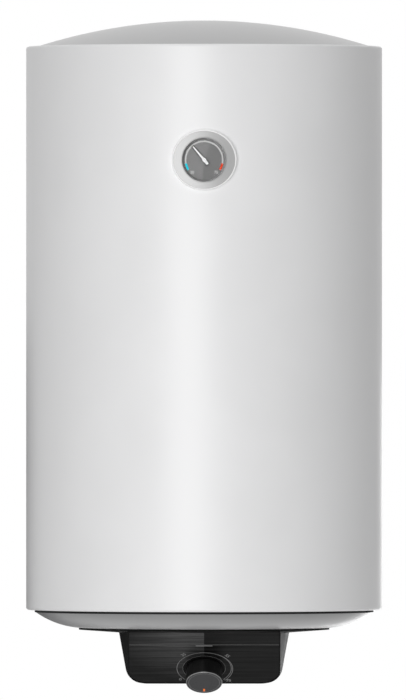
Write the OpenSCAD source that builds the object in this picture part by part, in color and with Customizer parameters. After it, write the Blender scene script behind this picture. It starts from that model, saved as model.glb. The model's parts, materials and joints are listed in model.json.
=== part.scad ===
// Wall-hung electric storage water heater with a round jacket.
// The part's frame has its origin on the wall, midway between the two hanging slots:
// +Z up, +X to the right of a viewer who faces the heater, +Y into the wall.
// Each module is drawn on the tank's axis, with z = 0 at the jacket's lower rim.

/* [Jacket] */
// Outer diameter of the jacket
jacket_d = 450; // [430:1:480]
// Height of the jacket from rim to rim
jacket_h = 712; // [700:1:800]
// Sheet thickness of the jacket
jacket_t = 1; // [0.8:0.1:1.5]
// Radius of the rolled edge at both rims
rim_r = 3.5; // [2:0.5:5]
// Width of the lip that each rim turns inwards
rim_lip = 9; // [8:0.5:10]

/* [End caps] */
// Radius of the spherical crown
crown_r = 692; // [650:1:750]
// Depth of the bottom cap below the lower rim
pan_depth = 23; // [20:1:26]
// Radius of the curve round the bottom cap
pan_curve_r = 108; // [100:1:115]
// Distance of the bottom cap's edge inside the jacket's wall
pan_inset = 11; // [10:0.5:13]
// Sheet thickness of both caps
cap_t = 1.5; // [1:0.1:2]
// Height of the skirt that each cap pushes into the jacket
cap_skirt = 18; // [12:1:25]
// Radius of the service opening in the bottom cap
service_r = 68; // [67:0.5:69]

/* [Tank] */
// Thickness of the insulation between the tank and the jacket
foam_t = 22; // [20:1:29]
// Wall thickness of the tank
tank_t = 2; // [1.5:0.1:3]
// Distance of the straight wall's upper edge below the jacket's upper rim
tank_drop = 77; // [67:1:97]
// Height of the straight wall's lower edge above the lower rim
tank_z = 85; // [83:1:88]
// Height of each domed head
head_h = 55; // [50:1:57]
// Radius of the knuckle round each head
head_knuckle_r = 20; // [16:1:25]

/* [Element flange] */
// Outer radius of the flange ring and plate
flange_r = 62.5; // [62:0.5:64]
// Inner radius of the neck
neck_r = 45; // [44:0.5:46]
// Wall of the neck
neck_t = 4; // [3:0.5:4]
// Height of the ring's lower face above the lower rim
ring_z = 6; // [5:0.5:8]
// Thickness of the ring
ring_t = 12; // [10:0.5:12]
// Thickness of the rubber gasket
gasket_t = 3; // [2:0.5:4]
// Thickness of the element plate
plate_t = 5; // [4:0.5:6]
// Number of flange studs
stud_count = 5; // [4:1:6]
// Radius of the circle that the studs stand on
stud_circle_r = 54.5; // [54:0.5:55]
// Thread radius of the studs
stud_r = 4; // [3:0.5:4]
// Length that a stud stands clear of its nut
stud_tail = 5; // [3:0.5:6]

/* [Heating] */
// Radius of the heating rods
rod_r = 4; // [3:0.5:4.5]
// Half the distance between the two legs of a hairpin
hairpin_r = 12; // [10:0.5:14]
// Distance of each hairpin from the middle of the plate
hairpin_y = 28; // [26:0.5:30]
// Height of the hairpins above the plate
hairpin_h = 260; // [200:5:320]
// Length of the rods below the plate
rod_tail = 4; // [3:0.5:6]
// Radius of the magnesium anode
anode_r = 10.5; // [8:0.5:11]
// Length of the magnesium anode
anode_l = 240; // [150:5:300]
// Distance of the anode and of the thermowell from the middle
side_x = 25; // [24:0.5:26]
// Outer radius of the thermowell
well_r = 5; // [4.5:0.1:5.5]
// Wall of the thermowell
well_t = 1; // [0.6:0.1:1.2]
// Length of the thermowell above the plate
well_l = 250; // [180:5:300]
// Radius of the sensing bulb
bulb_r = 3.5; // [2.5:0.1:3.7]
// Length of the sensing bulb
bulb_l = 90; // [60:5:120]

/* [Water connections] */
// Major radius of the half-inch pipe thread
thread_r = 10.48; // [9:0.01:10.6]
// Length of the thread
thread_l = 20; // [14:1:22]
// Outer radius of the nipples above the thread
nipple_r = 10.65; // [10.6:0.01:11]
// Bore radius of the nipples
nipple_bore_r = 8; // [7:0.1:8.5]
// Distance between the two connections
nipple_spacing = 100; // [90:1:105]
// Distance of the connections behind the tank's axis
nipple_y = 115; // [113:1:118]
// Length of the nipples below the bottom cap
nipple_drop = 29; // [22:1:35]
// Gap between the diffuser's hood and the tank's head under it
hood_gap = 3; // [1:0.5:6]
// Radius of the coloured rings
collar_r = 17; // [15:0.5:19]
// Thickness of the coloured rings
collar_t = 5; // [3:0.5:8]
// Gap between the hot dip tube's open end and the top of the straight wall
dip_gap = 30; // [20:1:80]
// Radius of the cold diffuser's hood
hood_r = 16; // [14:0.5:18]
// Height of the cold diffuser's hood
hood_h = 14; // [12:0.5:18]

/* [Wall fixings] */
// Distance between the wall and the jacket
wall_gap = 12; // [10:0.5:15]
// Height of the hanging slots above the lower rim
hang_z = 560; // [520:1:580]
// Distance between the two hanging slots
slot_spacing = 196; // [190:1:200]
// Width of a slot, across its length
slot_w = 11; // [10:0.5:12]
// Length of a slot from end to end
slot_l = 28; // [24:1:30]
// Length of the wall bracket
bracket_l = 262; // [256:1:300]
// Height of the wall bracket
bracket_h = 60; // [50:1:80]
// Thickness of the bracket and its legs
bracket_t = 3; // [2.5:0.5:4]
// Distance between the two legs
leg_spacing = 120; // [100:1:130]
// Height of the lower wall spacer above the lower rim
spacer_z = 80; // [60:1:120]
// Width of the lower wall spacer
spacer_w = 60; // [40:1:80]
// Height of the lower wall spacer
spacer_h = 30; // [20:1:40]

/* [Thermometer] */
// Distance of the thermometer's middle below the jacket's upper rim
gauge_drop = 145.5; // [112:0.5:212]
// Width of the bezel
bezel_w = 81.6; // [80:0.1:84]
// Height of the bezel
bezel_h = 76.2; // [74:0.1:78]
// Depth that the bezel stands proud of the jacket
bezel_depth = 6; // [5:0.1:8]
// Width of the bright edge round the bezel
bezel_edge = 1.6; // [1:0.1:2]
// Radius of the window
window_r = 27.3; // [27:0.1:27.6]
// Depth of the cup behind the jacket's front
cup_depth = 17; // [15:0.5:18]
// Wall of the cup
cup_t = 1.2; // [1:0.1:1.5]
// Thickness of the lens
lens_t = 1.5; // [1:0.1:2]
// Thickness of the dial
dial_t = 0.8; // [0.6:0.1:1]
// Depth of the dial's face below the lens
dial_drop = 3.5; // [3:0.1:4]
// Mean radius of the printed scale
scale_r = 23.2; // [22:0.1:24]
// Width of the printed scale
scale_w = 1.8; // [1:0.1:2.4]
// Length of the needle from its centre to its tip
needle_l = 21.3; // [18:0.1:22]
// Length of the needle's tail
needle_tail = 7.1; // [5:0.1:9]
// Thickness of the needle
needle_t = 0.7; // [0.5:0.1:0.9]
// Angle of the needle left of twelve o'clock
needle_rest = 40; // [0:1:80]
// Radius of the needle's spindle
pivot_r = 1; // [0.8:0.1:1.2]

/* [Control cover] */
// Radius of the cover's flange
cover_r = 158.4; // [158:0.1:162]
// Thickness of the flange at its edge
cover_edge = 2; // [1.5:0.1:3]
// Thickness of the flange beside the housing
cover_root = 5.5; // [5:0.1:6.5]
// Distance of the flange's straight rear edge behind the axis
cover_rear = 80; // [76:1:90]
// Depth of the housing below the lower rim
cover_depth = 94; // [92:0.5:100]
// Wall of the housing
cover_t = 3; // [2.5:0.1:3.5]
// Width of the sloping face
face_w = 192; // [188:1:194]
// Angle of the sloping face's normal below the horizontal
face_tilt = 54; // [52:1:56]
// Distance of the knob's centre in front of the axis
knob_y = 61.3; // [60:0.1:63]
// Distance of the knob's centre below the lower rim
knob_z = 73.3; // [72:0.1:74]
// Length of the face above the knob's centre
face_up = 80.4; // [79:0.1:81]
// Length of the face below the knob's centre
face_down = 33.4; // [32:0.1:34]
// Corner radius at the foot of the face
face_corner_r = 25; // [20:1:28]
// Width of the housing at its rear, under the flange
rear_w = 215; // [205:1:216]
// Width of the housing at its foot
foot_w = 196; // [192:1:204]
// Radius of the housing's lower corners, seen from the front
foot_corner_r = 22; // [18:1:25]
// Distance of the housing's rear wall behind the axis, under the flange
rear_y = 68; // [64:1:72]
// Distance of the housing's rear wall behind the axis, at its foot
foot_y = 62; // [52:1:66]
// Radius of the housing's rear corners
rear_corner_r = 18; // [12:1:22]

/* [Control panel] */
// Thickness of the brushed plate
panel_t = 1; // [0.8:0.1:1.2]
// Width of the border round the plate
panel_border = 1.7; // [1.2:0.1:2.5]
// Depth of the plate's surface below the border
panel_sink = 0.3; // [0:0.1:0.5]
// Radius of the round opening about the knob
dish_r = 27; // [26:0.1:28]
// Distance of the plate's dividing line above the knob's centre
line_v = 51.5; // [48:0.1:54]
// Width of the dividing line
line_w = 0.8; // [0.5:0.1:1.2]
// Length of the indicator window
lamp_l = 21; // [16:0.5:24]
// Height of the indicator window
lamp_w = 1.6; // [1:0.1:2]
// Distance of the indicator window above the knob's centre
lamp_v = 49.4; // [47:0.1:49.6]
// Radius of the printed temperature scale
dial_scale_r = 34.3; // [33:0.1:36]
// Growth of the scale's radius towards the hot end
dial_scale_growth = 3; // [2:0.1:4]
// Line width of the printed scale
dial_scale_w = 0.7; // [0.4:0.1:1]

/* [Knob] */
// Outer radius of the knob
knob_r = 23; // [21:0.1:24]
// Height of the knob above the panel's border
knob_h = 22; // [18:0.5:26]
// Wall of the knob
knob_t = 2; // [1.5:0.1:2.5]
// Thickness of the knob's cap
knob_cap_t = 2; // [1.5:0.1:2.5]
// Radius of the ring groove on the cap
cap_ring_r = 19.5; // [18:0.1:20]
// Width of the pointer
pointer_w = 3; // [2:0.1:4]
// Distance of the pointer's inner end from the knob's axis
pointer_in = 14.3; // [12:0.1:16]

/* [Thermostat and terminals] */
// Size of the thermostat across the panel
stat_w = 46; // [40:1:50]
// Size of the thermostat along the panel's slope
stat_l = 38; // [34:1:40]
// Depth of the thermostat
stat_depth = 24; // [18:1:26]
// Radius of the thermostat's spindle
spindle_r = 3; // [2.5:0.1:3.2]
// Distance of the fixing screws from the spindle
stat_screw_x = 14; // [13.5:0.1:14.5]
// Radius of the safety cut-out
cutout_r = 13; // [11:0.5:13.5]
// Height of the safety cut-out
cutout_h = 12; // [10:0.5:13]
// Radius of the reset button
button_r = 3; // [2.5:0.1:3.5]
// Travel of the reset button
button_travel = 2; // [1.5:0.1:2.5]
// Length of the terminal block, front to back
block_l = 44; // [36:1:46]
// Width of the terminal block
block_w = 20; // [16:1:22]
// Height of the terminal block
block_h = 18; // [14:1:20]
// Distance of the terminal block right of the axis
block_x = 84; // [83:0.5:85]
// Radius of the mains wires
wire_r = 1.6; // [1:0.1:1.8]
// Bore radius of the cord gland
gland_bore_r = 4.2; // [3.5:0.1:4.5]
// Length of the cord gland outside the housing
gland_l = 10; // [6:0.5:12]
// Distance of the cord gland left of the axis
gland_x = 40; // [30:1:50]

/* [Fits] */
// Gap between pieces that lie side by side
skin_gap = 0.2; // [0.1:0.05:0.25]
// Radial clearance of a turning or sliding shaft
run_gap = 0.05; // [0.03:0.01:0.06]
// Radial clearance of a screw or stud in its hole
bolt_gap = 0.3; // [0.2:0.05:0.5]

/* [Hidden] */

$fn = 96;
eps = 1;                                   // overshoot of every cutting shape
arc_n = 8;                                 // straight steps in a drawn arc
hull_fn = 32;
jacket_r = jacket_d / 2;
jacket_in_r = jacket_r - jacket_t;
skirt_r = jacket_in_r - skin_gap;
lip_in_r = jacket_r - rim_lip;
wall_y = jacket_r + wall_gap;
tank_r = jacket_in_r - foam_t;
tank_wall_h = jacket_h - tank_drop - tank_z;
gauge_z = jacket_h - gauge_drop;
pan_r = jacket_r - pan_inset;
crown_gap = 0.6;                           // room between the crown and the lip's inner edge
crown_h = crown_r - sqrt(crown_r * crown_r - lip_in_r * lip_in_r) - jacket_t - crown_gap;

// Places the tank's axis and the lower rim in the part's frame
module placed() { translate([0, -wall_y, -hang_z]) children(); }

// Local Z looks out of the front of the jacket, at the thermometer
module on_gauge() { translate([0, -jacket_r, gauge_z]) rotate([90, 0, 0]) children(); }

// Local Z leaves the sloping face at the knob, local Y climbs the slope
module on_face(v = 0) {
    translate([0, -knob_y, -knob_z]) rotate([90 + face_tilt, 0, 0]) translate([0, v, 0]) children();
}

// Solids that give a piece the curve of the tank or of the jacket that it sits against
module tank_face() { cylinder(r = tank_r + skin_gap, h = 2 * jacket_h, $fn = 360); }
module jacket_face() { cylinder(r = jacket_r + skin_gap, h = 2 * jacket_h, $fn = 360); }

// Local Z leaves the housing's rear wall, at the middle of its height
module on_rear() {
    translate([0, rear_mid_y, rear_mid_z]) rotate([-90 - rear_lean, 0, 0]) children();
}

module at_both(x) { for (side = [-1, 1]) translate([side * x, 0, 0]) children(); }

module tube(r_out, r_in, h) {
    difference() {
        cylinder(r = r_out, h = h);
        translate([0, 0, -eps]) cylinder(r = r_in, h = h + 2 * eps);
    }
}

module block(size) { translate([-size[0] / 2, -size[1] / 2, 0]) cube(size); }

function unit(v) = v / norm(v);

// Corners cut off twice as often each time, which rounds the bends of a route
function eased(points, times) = times == 0 ? points : eased(concat(
    [points[0]],
    [for (i = [1 : len(points) - 2], near = [i - 1, i + 1]) points[i] + (points[near] - points[i]) / 4],
    [points[len(points) - 1]]
), times - 1);

// A round wire through a list of points, with one ring of corners at each point
module run_of_wire(route, r) {
    points = eased(route, 2);
    sides = 10;
    last = len(points) - 1;
    side_view = [0.31, 0.42, 0.15];        // any direction that no wire runs along
    function heading(i) = unit(points[min(i + 1, last)] - points[max(i - 1, 0)]);
    function ring(i) = let (u = unit(cross(heading(i), side_view)), v = cross(heading(i), u))
        [for (k = [0 : sides - 1]) points[i] + r * (cos(k * 360 / sides) * u + sin(k * 360 / sides) * v)];
    skin = [for (i = [0 : last - 1], k = [0 : sides - 1])
        let (a = i * sides + k, b = i * sides + (k + 1) % sides)
        [a, a + sides, b + sides, b]];
    polyhedron(
        [for (i = [0 : last]) each ring(i)],
        concat([[for (k = [0 : sides - 1]) k]], skin, [[for (k = [sides - 1 : -1 : 0]) last * sides + k]])
    );
}

// Points on an arc about a centre, from one angle to another
function arc(c, r, from, to, n = arc_n) =
    [for (i = [0 : n]) let (a = from + (to - from) * i / n) c + r * [cos(a), sin(a)]];

// ---------- jacket and caps ----------

// One side of the jacket's sheet at the lower rim, from the lip to the straight wall
function jacket_rim(r, turn_r, lip_r) = concat(
    [[lip_r, jacket_r - r]],
    arc([r - turn_r, jacket_r - r + turn_r], turn_r, -90, 0)
);

function backwards(points) = [for (i = [len(points) - 1 : -1 : 0]) points[i]];
function upside_down(points, z) = [for (p = backwards(points)) [max(p[0], 0), z - p[1]]];

module jacket_section() {
    outer = jacket_rim(jacket_r, rim_r, lip_in_r);
    inner = jacket_rim(jacket_in_r, rim_r - jacket_t, lip_in_r);
    polygon(concat(outer, upside_down(outer, jacket_h),
                   backwards(upside_down(inner, jacket_h)), backwards(inner)));
}

module outer_jacket() {
    color("whitesmoke") difference() {
        rotate_extrude($fn = 180) jacket_section();
        on_gauge() translate([0, 0, -cup_depth]) cylinder(r = cup_r + bolt_gap, h = 2 * cup_depth);
        leg_slots(bolt_gap);
    }
}

crown_z = jacket_h + crown_h;              // outer apex of the top cap
function crown_at(r, sphere_r) = crown_z - crown_r + sqrt(sphere_r * sphere_r - r * r);

module top_cap() {
    rim_z = crown_at(skirt_r, crown_r);
    outer = [for (i = [0 : arc_n]) let (r = skirt_r * i / arc_n) [r, crown_at(r, crown_r)]];
    inner_r = skirt_r - cap_t;
    inner = [for (i = [arc_n : -1 : 0]) let (r = inner_r * i / arc_n) [r, crown_at(r, crown_r - cap_t)]];
    skirt = [[skirt_r, rim_z - cap_skirt], [inner_r, rim_z - cap_skirt]];
    color("gainsboro") rotate_extrude($fn = 180) polygon(concat(outer, skirt, inner));
}

pan_lip_z = 2.2;                           // depth of the groove under the jacket's rim
pan_flat_r = pan_r - sqrt(pow(pan_curve_r, 2) - pow(pan_curve_r - pan_depth + pan_lip_z, 2));
pan_seat_z = jacket_t + skin_gap;          // underside of the cap's shoulder, above the lip
pan_floor_z = -pan_depth + cap_t;

module bottom_cap() {
    c = [pan_flat_r, pan_curve_r - pan_depth];
    end = -acos((pan_r - pan_flat_r) / pan_curve_r);
    shell_end = -acos((pan_r - cap_t - pan_flat_r) / (pan_curve_r - cap_t));
    outer = concat([[service_r, -pan_depth]], arc(c, pan_curve_r, -90, end));
    shoulder = [[pan_r, pan_seat_z], [skirt_r - rim_r, pan_seat_z], [skirt_r, pan_seat_z + rim_r],
                [skirt_r, pan_seat_z + cap_skirt],
                [skirt_r - cap_t, pan_seat_z + cap_skirt], [skirt_r - cap_t, pan_seat_z + cap_t],
                [pan_r - cap_t, pan_seat_z + cap_t]];
    inner = concat(arc(c, pan_curve_r - cap_t, shell_end, -90), [[service_r, pan_floor_z]]);
    color("gainsboro") difference() {
        rotate_extrude($fn = 180) polygon(concat(outer, shoulder, inner));
        at_nipples() translate([0, 0, -pan_depth - eps]) cylinder(r = nipple_r + bolt_gap, h = pan_depth);
        at_cover_screws() translate([0, 0, -eps]) cylinder(r = screw_r + run_gap, h = 2 * pan_depth);
    }
}

// ---------- insulation ----------

foam_bottom_z = pan_seat_z + cap_t + skin_gap;
foam_top_z = crown_at(skirt_r, crown_r) - cap_t - 1;
foam_recess = 2;                           // room round the element flange

module foam_insulation() {
    inside_skirt_r = skirt_r - cap_t - skin_gap;
    low_z = pan_seat_z + cap_skirt + skin_gap;
    high_z = crown_at(skirt_r, crown_r) - cap_skirt - skin_gap;
    outline = [[0, foam_bottom_z], [inside_skirt_r, foam_bottom_z], [inside_skirt_r, low_z],
               [skirt_r, low_z], [skirt_r, high_z], [inside_skirt_r, high_z],
               [inside_skirt_r, foam_top_z], [0, foam_top_z]];
    color("khaki") difference() {
        rotate_extrude() polygon(outline);
        rotate_extrude() tank_outline(skin_gap);
        cylinder(r = flange_r + foam_recess, h = 2 * tank_z);
        at_nipples() cylinder(r = nipple_r + bolt_gap, h = 2 * tank_z);
        on_gauge() translate([0, 0, -cup_depth - skin_gap])
            cylinder(r = cup_r + skin_gap, h = 2 * cup_depth);
        on_gauge() translate([0, 0, -2 * cup_depth]) cylinder(r = stem_r + skin_gap, h = 2 * cup_depth);
        leg_slots(skin_gap);
    }
}

// ---------- tank ----------

crown_of_head = (pow(head_h, 2) - pow(head_knuckle_r, 2) + pow(tank_r - head_knuckle_r, 2))
                / (2 * (head_h - head_knuckle_r));
head_turn = atan2(crown_of_head - head_h, tank_r - head_knuckle_r);

// Half section of a domed head, grown by a distance, from its rim to its apex
function head_points(grow) = concat(
    arc([tank_r - head_knuckle_r, 0], head_knuckle_r + grow, 0, head_turn),
    arc([0, head_h - crown_of_head], crown_of_head + grow,
        head_turn + (90 - head_turn) / arc_n, 90, arc_n - 1)
);

function raised(points, z) = [for (p = points) [max(p[0], 0), p[1] + z]];

module tank_outline(grow) {
    polygon(concat(upside_down(head_points(grow), tank_z),
                   raised(head_points(grow), tank_z + tank_wall_h)));
}

module head_section() {
    polygon(concat(raised(head_points(0), 0), backwards(raised(head_points(-tank_t), 0))));
}

module tank_shell() {
    color("steelblue") translate([0, 0, tank_z]) tube(tank_r, tank_r - tank_t, tank_wall_h);
}

module tank_top_head() {
    color("steelblue") translate([0, 0, tank_z + tank_wall_h]) rotate_extrude() head_section();
}

neck_out_r = neck_r + neck_t;

module tank_bottom_head() {
    color("steelblue") difference() {
        translate([0, 0, tank_z]) mirror([0, 0, 1]) rotate_extrude() head_section();
        cylinder(r = neck_out_r + run_gap, h = 2 * tank_z);
        at_nipples() cylinder(r = nipple_r + run_gap, h = 2 * tank_z);
    }
}

// ---------- element flange ----------

neck_grip = 6;                             // length of the neck inside the head
neck_top_z = tank_z - head_h + neck_grip;
stud_grip = 9;                             // depth of a stud in the ring
nut_h = 6.5;
nut_flats = 13;
gasket_z = ring_z - gasket_t;
plate_z = gasket_z - plate_t;              // underside of the element plate
nut_z = plate_z - nut_h;

module at_studs() {
    for (i = [0 : stud_count - 1]) rotate(90 + i * 360 / stud_count)
        translate([stud_circle_r, 0, 0]) children();
}

module tank_flange_ring() {
    color("slategray") difference() {
        union() {
            translate([0, 0, ring_z]) tube(flange_r, neck_r, ring_t);
            translate([0, 0, ring_z]) tube(neck_out_r, neck_r, neck_top_z - ring_z);
        }
        at_studs() translate([0, 0, ring_z - eps]) cylinder(r = stud_r + run_gap, h = stud_grip + eps);
    }
}

module flange_studs() {
    color("silver") at_studs() translate([0, 0, nut_z - stud_tail])
        cylinder(r = stud_r, h = ring_z + stud_grip - nut_z + stud_tail);
}

module flange_nuts() {
    color("silver") at_studs() translate([0, 0, nut_z]) difference() {
        cylinder(r = nut_flats / sqrt(3), h = nut_h, $fn = 6);
        translate([0, 0, -eps]) cylinder(r = stud_r + run_gap, h = nut_h + 2 * eps);
    }
}

module flange_gasket() {
    color("dimgray") difference() {
        translate([0, 0, gasket_z]) tube(flange_r, neck_r, gasket_t);
        at_studs() translate([0, 0, gasket_z - eps])
            cylinder(r = stud_r + bolt_gap, h = gasket_t + 2 * eps);
    }
}

module at_rods() { for (side = [-1, 1]) translate([0, side * hairpin_y, 0]) at_both(hairpin_r) children(); }

earth_turn = 126;                          // direction of the earth screw, between two studs
earth_at = (flange_r - 13) * [cos(earth_turn), sin(earth_turn)];
earth_r = 2.5;
earth_flats = 8;
earth_head_h = 3;
anode_stud_r = 3;
anode_nut_h = 5;
anode_flats = 10;
anode_z = plate_z + plate_t;
anode_grip = 20;                           // depth of the stud in the anode

module element_flange() {
    color("lightsteelblue") translate([0, 0, plate_z]) difference() {
        cylinder(r = flange_r, h = plate_t);
        translate([0, 0, -eps]) {
            at_studs() cylinder(r = stud_r + bolt_gap, h = plate_t + 2 * eps);
            at_rods() cylinder(r = rod_r + run_gap, h = plate_t + 2 * eps);
            translate([-side_x, 0, 0]) cylinder(r = well_r + run_gap, h = plate_t + 2 * eps);
            translate([side_x, 0, 0]) cylinder(r = anode_stud_r + run_gap, h = plate_t + 2 * eps);
            translate(earth_at) cylinder(r = earth_r + run_gap, h = plate_t + 2 * eps);
        }
    }
}

module heating_element() {
    leg_h = hairpin_h - hairpin_r;
    color("darkgoldenrod") for (side = [-1, 1]) translate([0, side * hairpin_y, plate_z]) {
        at_both(hairpin_r) translate([0, 0, -rod_tail]) cylinder(r = rod_r, h = leg_h + rod_tail, $fn = 32);
        translate([0, 0, leg_h]) rotate([90, 0, 0]) rotate_extrude(angle = 180)
            translate([hairpin_r, 0]) circle(r = rod_r, $fn = 32);
    }
}

insulator_r = 5;
insulator_t = 3;
tab_l = 8;
tab_w = 6.3;
tab_t = 0.8;

module terminal_insulators() {
    color("linen") at_rods() translate([0, 0, plate_z - insulator_t])
        tube(insulator_r, rod_r + run_gap, insulator_t);
}

module terminal_tabs() {
    color("goldenrod") at_rods() translate([0, 0, plate_z - rod_tail - tab_l]) block([tab_w, tab_t, tab_l]);
}

module thermowell() {
    color("darkgoldenrod") translate([-side_x, 0, plate_z]) difference() {
        cylinder(r = well_r, h = plate_t + well_l);
        translate([0, 0, -eps]) cylinder(r = well_r - well_t, h = plate_t + well_l - well_t + eps);
    }
}

module anode_rod() {
    color("gray") translate([side_x, 0, anode_z]) difference() {
        cylinder(r = anode_r, h = anode_l);
        translate([0, 0, -eps]) cylinder(r = anode_stud_r + run_gap, h = anode_grip + eps);
    }
}

module anode_stud() {
    color("silver") translate([side_x, 0, plate_z - anode_nut_h]) {
        translate([0, 0, -stud_tail / 2])
            cylinder(r = anode_stud_r, h = stud_tail / 2 + anode_nut_h + plate_t + anode_grip);
        cylinder(r = anode_flats / sqrt(3), h = anode_nut_h, $fn = 6);
    }
}

module earth_screw() {
    color("goldenrod") translate([earth_at[0], earth_at[1], plate_z]) {
        translate([0, 0, -earth_head_h]) cylinder(r = earth_flats / sqrt(3), h = earth_head_h, $fn = 6);
        cylinder(r = earth_r, h = plate_t - 1);
    }
}

// ---------- water connections ----------

module at_nipples() { at_both(nipple_spacing / 2) translate([0, nipple_y, 0]) children(); }
module at_cold() { translate([nipple_spacing / 2, nipple_y, 0]) children(); }
module at_hot() { translate([-nipple_spacing / 2, nipple_y, 0]) children(); }

hood_reach = norm([nipple_spacing / 2, nipple_y]) + hood_r;
head_under_hood = tank_z - head_h + crown_of_head
                  - sqrt(pow(crown_of_head - tank_t, 2) - pow(hood_reach, 2));
nipple_top_z = ceil(head_under_hood) + hood_gap;
nipple_end_z = -pan_depth - nipple_drop;

module nipple() {
    translate([0, 0, nipple_end_z]) difference() {
        union() {
            cylinder(r = thread_r, h = thread_l + eps);
            translate([0, 0, thread_l]) cylinder(r = nipple_r, h = nipple_top_z - nipple_end_z - thread_l);
        }
        translate([0, 0, -eps]) cylinder(r = nipple_bore_r, h = nipple_top_z - nipple_end_z + 2 * eps);
    }
}
module cold_inlet_nipple() { color("silver") at_cold() nipple(); }
module hot_outlet_nipple() { color("silver") at_hot() nipple(); }

module collar() { translate([0, 0, -pan_depth - collar_t]) tube(collar_r, nipple_r + skin_gap, collar_t); }
module cold_ring() { color("royalblue") at_cold() collar(); }
module hot_ring() { color("crimson") at_hot() collar(); }

// Hood over the cold inlet that turns the jet sideways, open through four windows
module cold_diffuser() {
    hood_t = 1.5;
    window_w = 10;
    window_h = hood_h / 2;
    color("white") at_cold() translate([0, 0, nipple_top_z]) difference() {
        cylinder(r = hood_r, h = hood_h);
        translate([0, 0, -eps]) cylinder(r = nipple_bore_r, h = eps + hood_t);
        translate([0, 0, hood_t]) cylinder(r = hood_r - hood_t, h = hood_h - 2 * hood_t);
        for (turn = [0, 90]) rotate(turn) translate([0, 0, hood_t]) block([3 * hood_r, window_w, window_h]);
    }
}

module hot_dip_tube() {
    top_z = tank_z + tank_wall_h - dip_gap;
    dip_grip = 30;                         // length of the dip tube inside the nipple
    dip_wall = 1.5;
    foot_z = nipple_top_z - dip_grip;
    color("lightgray") at_hot() translate([0, 0, foot_z])
        tube(nipple_bore_r - run_gap, nipple_bore_r - dip_wall, top_z - foot_z);
}

// ---------- wall fixings ----------

module wall_bracket() {
    color("gray") difference() {
        translate([0, wall_y - bracket_t, hang_z - bracket_h / 2])
            translate([-bracket_l / 2, 0, 0]) cube([bracket_l, bracket_t, bracket_h]);
        at_both(slot_spacing / 2) translate([0, wall_y + eps, hang_z]) rotate([90, 0, 0])
            slot(bracket_t + 2 * eps);
    }
}

module slot(h) {
    reach = (slot_l - slot_w) / 2;
    at_both(reach) cylinder(d = slot_w, h = h);
    block([2 * reach, slot_w, h]);
}

module leg_slots(grow) {
    at_both(leg_spacing / 2) translate([0, wall_y / 2, hang_z - bracket_h / 2 - grow])
        block([bracket_t + 2 * grow, wall_y, bracket_h + 2 * grow]);
}

module bracket_legs() {
    color("gray") difference() {
        at_both(leg_spacing / 2) translate([0, (wall_y - bracket_t) / 2, hang_z - bracket_h / 2])
            block([bracket_t, wall_y - bracket_t, bracket_h]);
        tank_face();
    }
}

module wall_spacer() {
    color("dimgray") difference() {
        translate([0, wall_y - jacket_r / 2, spacer_z - spacer_h / 2])
            block([spacer_w, jacket_r, spacer_h]);
        jacket_face();
    }
}

// ---------- thermometer ----------

cup_r = window_r + cup_t;
stem_r = 5;
lens_z = bezel_depth - 2.5;                // front of the lens, from the jacket's front
dial_z = lens_z - lens_t - dial_drop;      // face of the dial
needle_z = dial_z + 1;
bezel_shift = (bezel_w - bezel_h) / 2;

// An oval disc with a bevelled edge: two round ends joined by a straight middle
module oval(r, h, bevel) {
    hull() at_both(bezel_shift) {
        cylinder(r = r, h = h - bevel, $fn = 64);
        cylinder(r = r - bevel, h = h, $fn = 64);
    }
}

module thermometer_bezel() {
    dish_out_r = bezel_h / 2 - bezel_edge - 1;
    dish_drop = 1.2;
    color("silver") difference() {
        on_gauge() translate([0, 0, -bezel_depth]) difference() {
            oval(bezel_h / 2, 2 * bezel_depth, bezel_edge);
            translate([0, 0, 2 * bezel_depth - dish_drop])
                cylinder(r1 = window_r, r2 = dish_out_r, h = dish_drop + 0.001);
            translate([0, 0, -eps]) cylinder(r = cup_r + skin_gap, h = bezel_depth + lens_z + eps);
            cylinder(r = window_r - 1, h = 3 * bezel_depth);
        }
        jacket_face();
    }
}

module thermometer_cup() {
    bush_r = 3;
    bush_h = 3;
    color("black") on_gauge() translate([0, 0, -cup_depth]) difference() {
        union() {
            tube(cup_r, window_r, cup_depth + lens_z);
            cylinder(r = cup_r, h = cup_t);
            cylinder(r = bush_r, h = cup_t + bush_h);
        }
        translate([0, 0, cup_t]) cylinder(r = pivot_r + run_gap, h = cup_depth);
    }
}

module thermometer_stem() {
    stem_back = jacket_r - tank_r - skin_gap;
    color("goldenrod") difference() {
        on_gauge() translate([0, 0, -2 * cup_depth]) cylinder(r = stem_r, h = cup_depth);
        tank_face();
    }
}

dial_r = window_r - skin_gap;

module thermometer_dial() {
    color("gray") on_gauge() translate([0, 0, dial_z - dial_t]) tube(dial_r, pivot_r + run_gap, dial_t);
}

mark_from = 191;                           // printed scale, anticlockwise from three o'clock
mark_to = 212;
print_t = 0.1;

module printed_arc(r, w, from, to, h) {
    rotate(from) rotate_extrude(angle = to - from) translate([r - w / 2, 0]) square([w, h]);
}

module thermometer_scale() {
    color("lightgray") on_gauge() translate([0, 0, dial_z])
        printed_arc(scale_r, scale_w, 180 - mark_from, mark_from, print_t);
}

module cold_mark() {
    color("deepskyblue") on_gauge() translate([0, 0, dial_z])
        printed_arc(scale_r, scale_w + 0.8, mark_from + 0.2, mark_to, print_t);
}

module hot_mark() {
    color("orangered") on_gauge() translate([0, 0, dial_z])
        printed_arc(scale_r, scale_w + 0.8, 180 - mark_to, 179.8 - mark_from, print_t);
}

module thermometer_lens() {
    color("white", 0.3) on_gauge() translate([0, 0, lens_z - lens_t])
        cylinder(r = window_r - skin_gap, h = lens_t);
}

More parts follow.
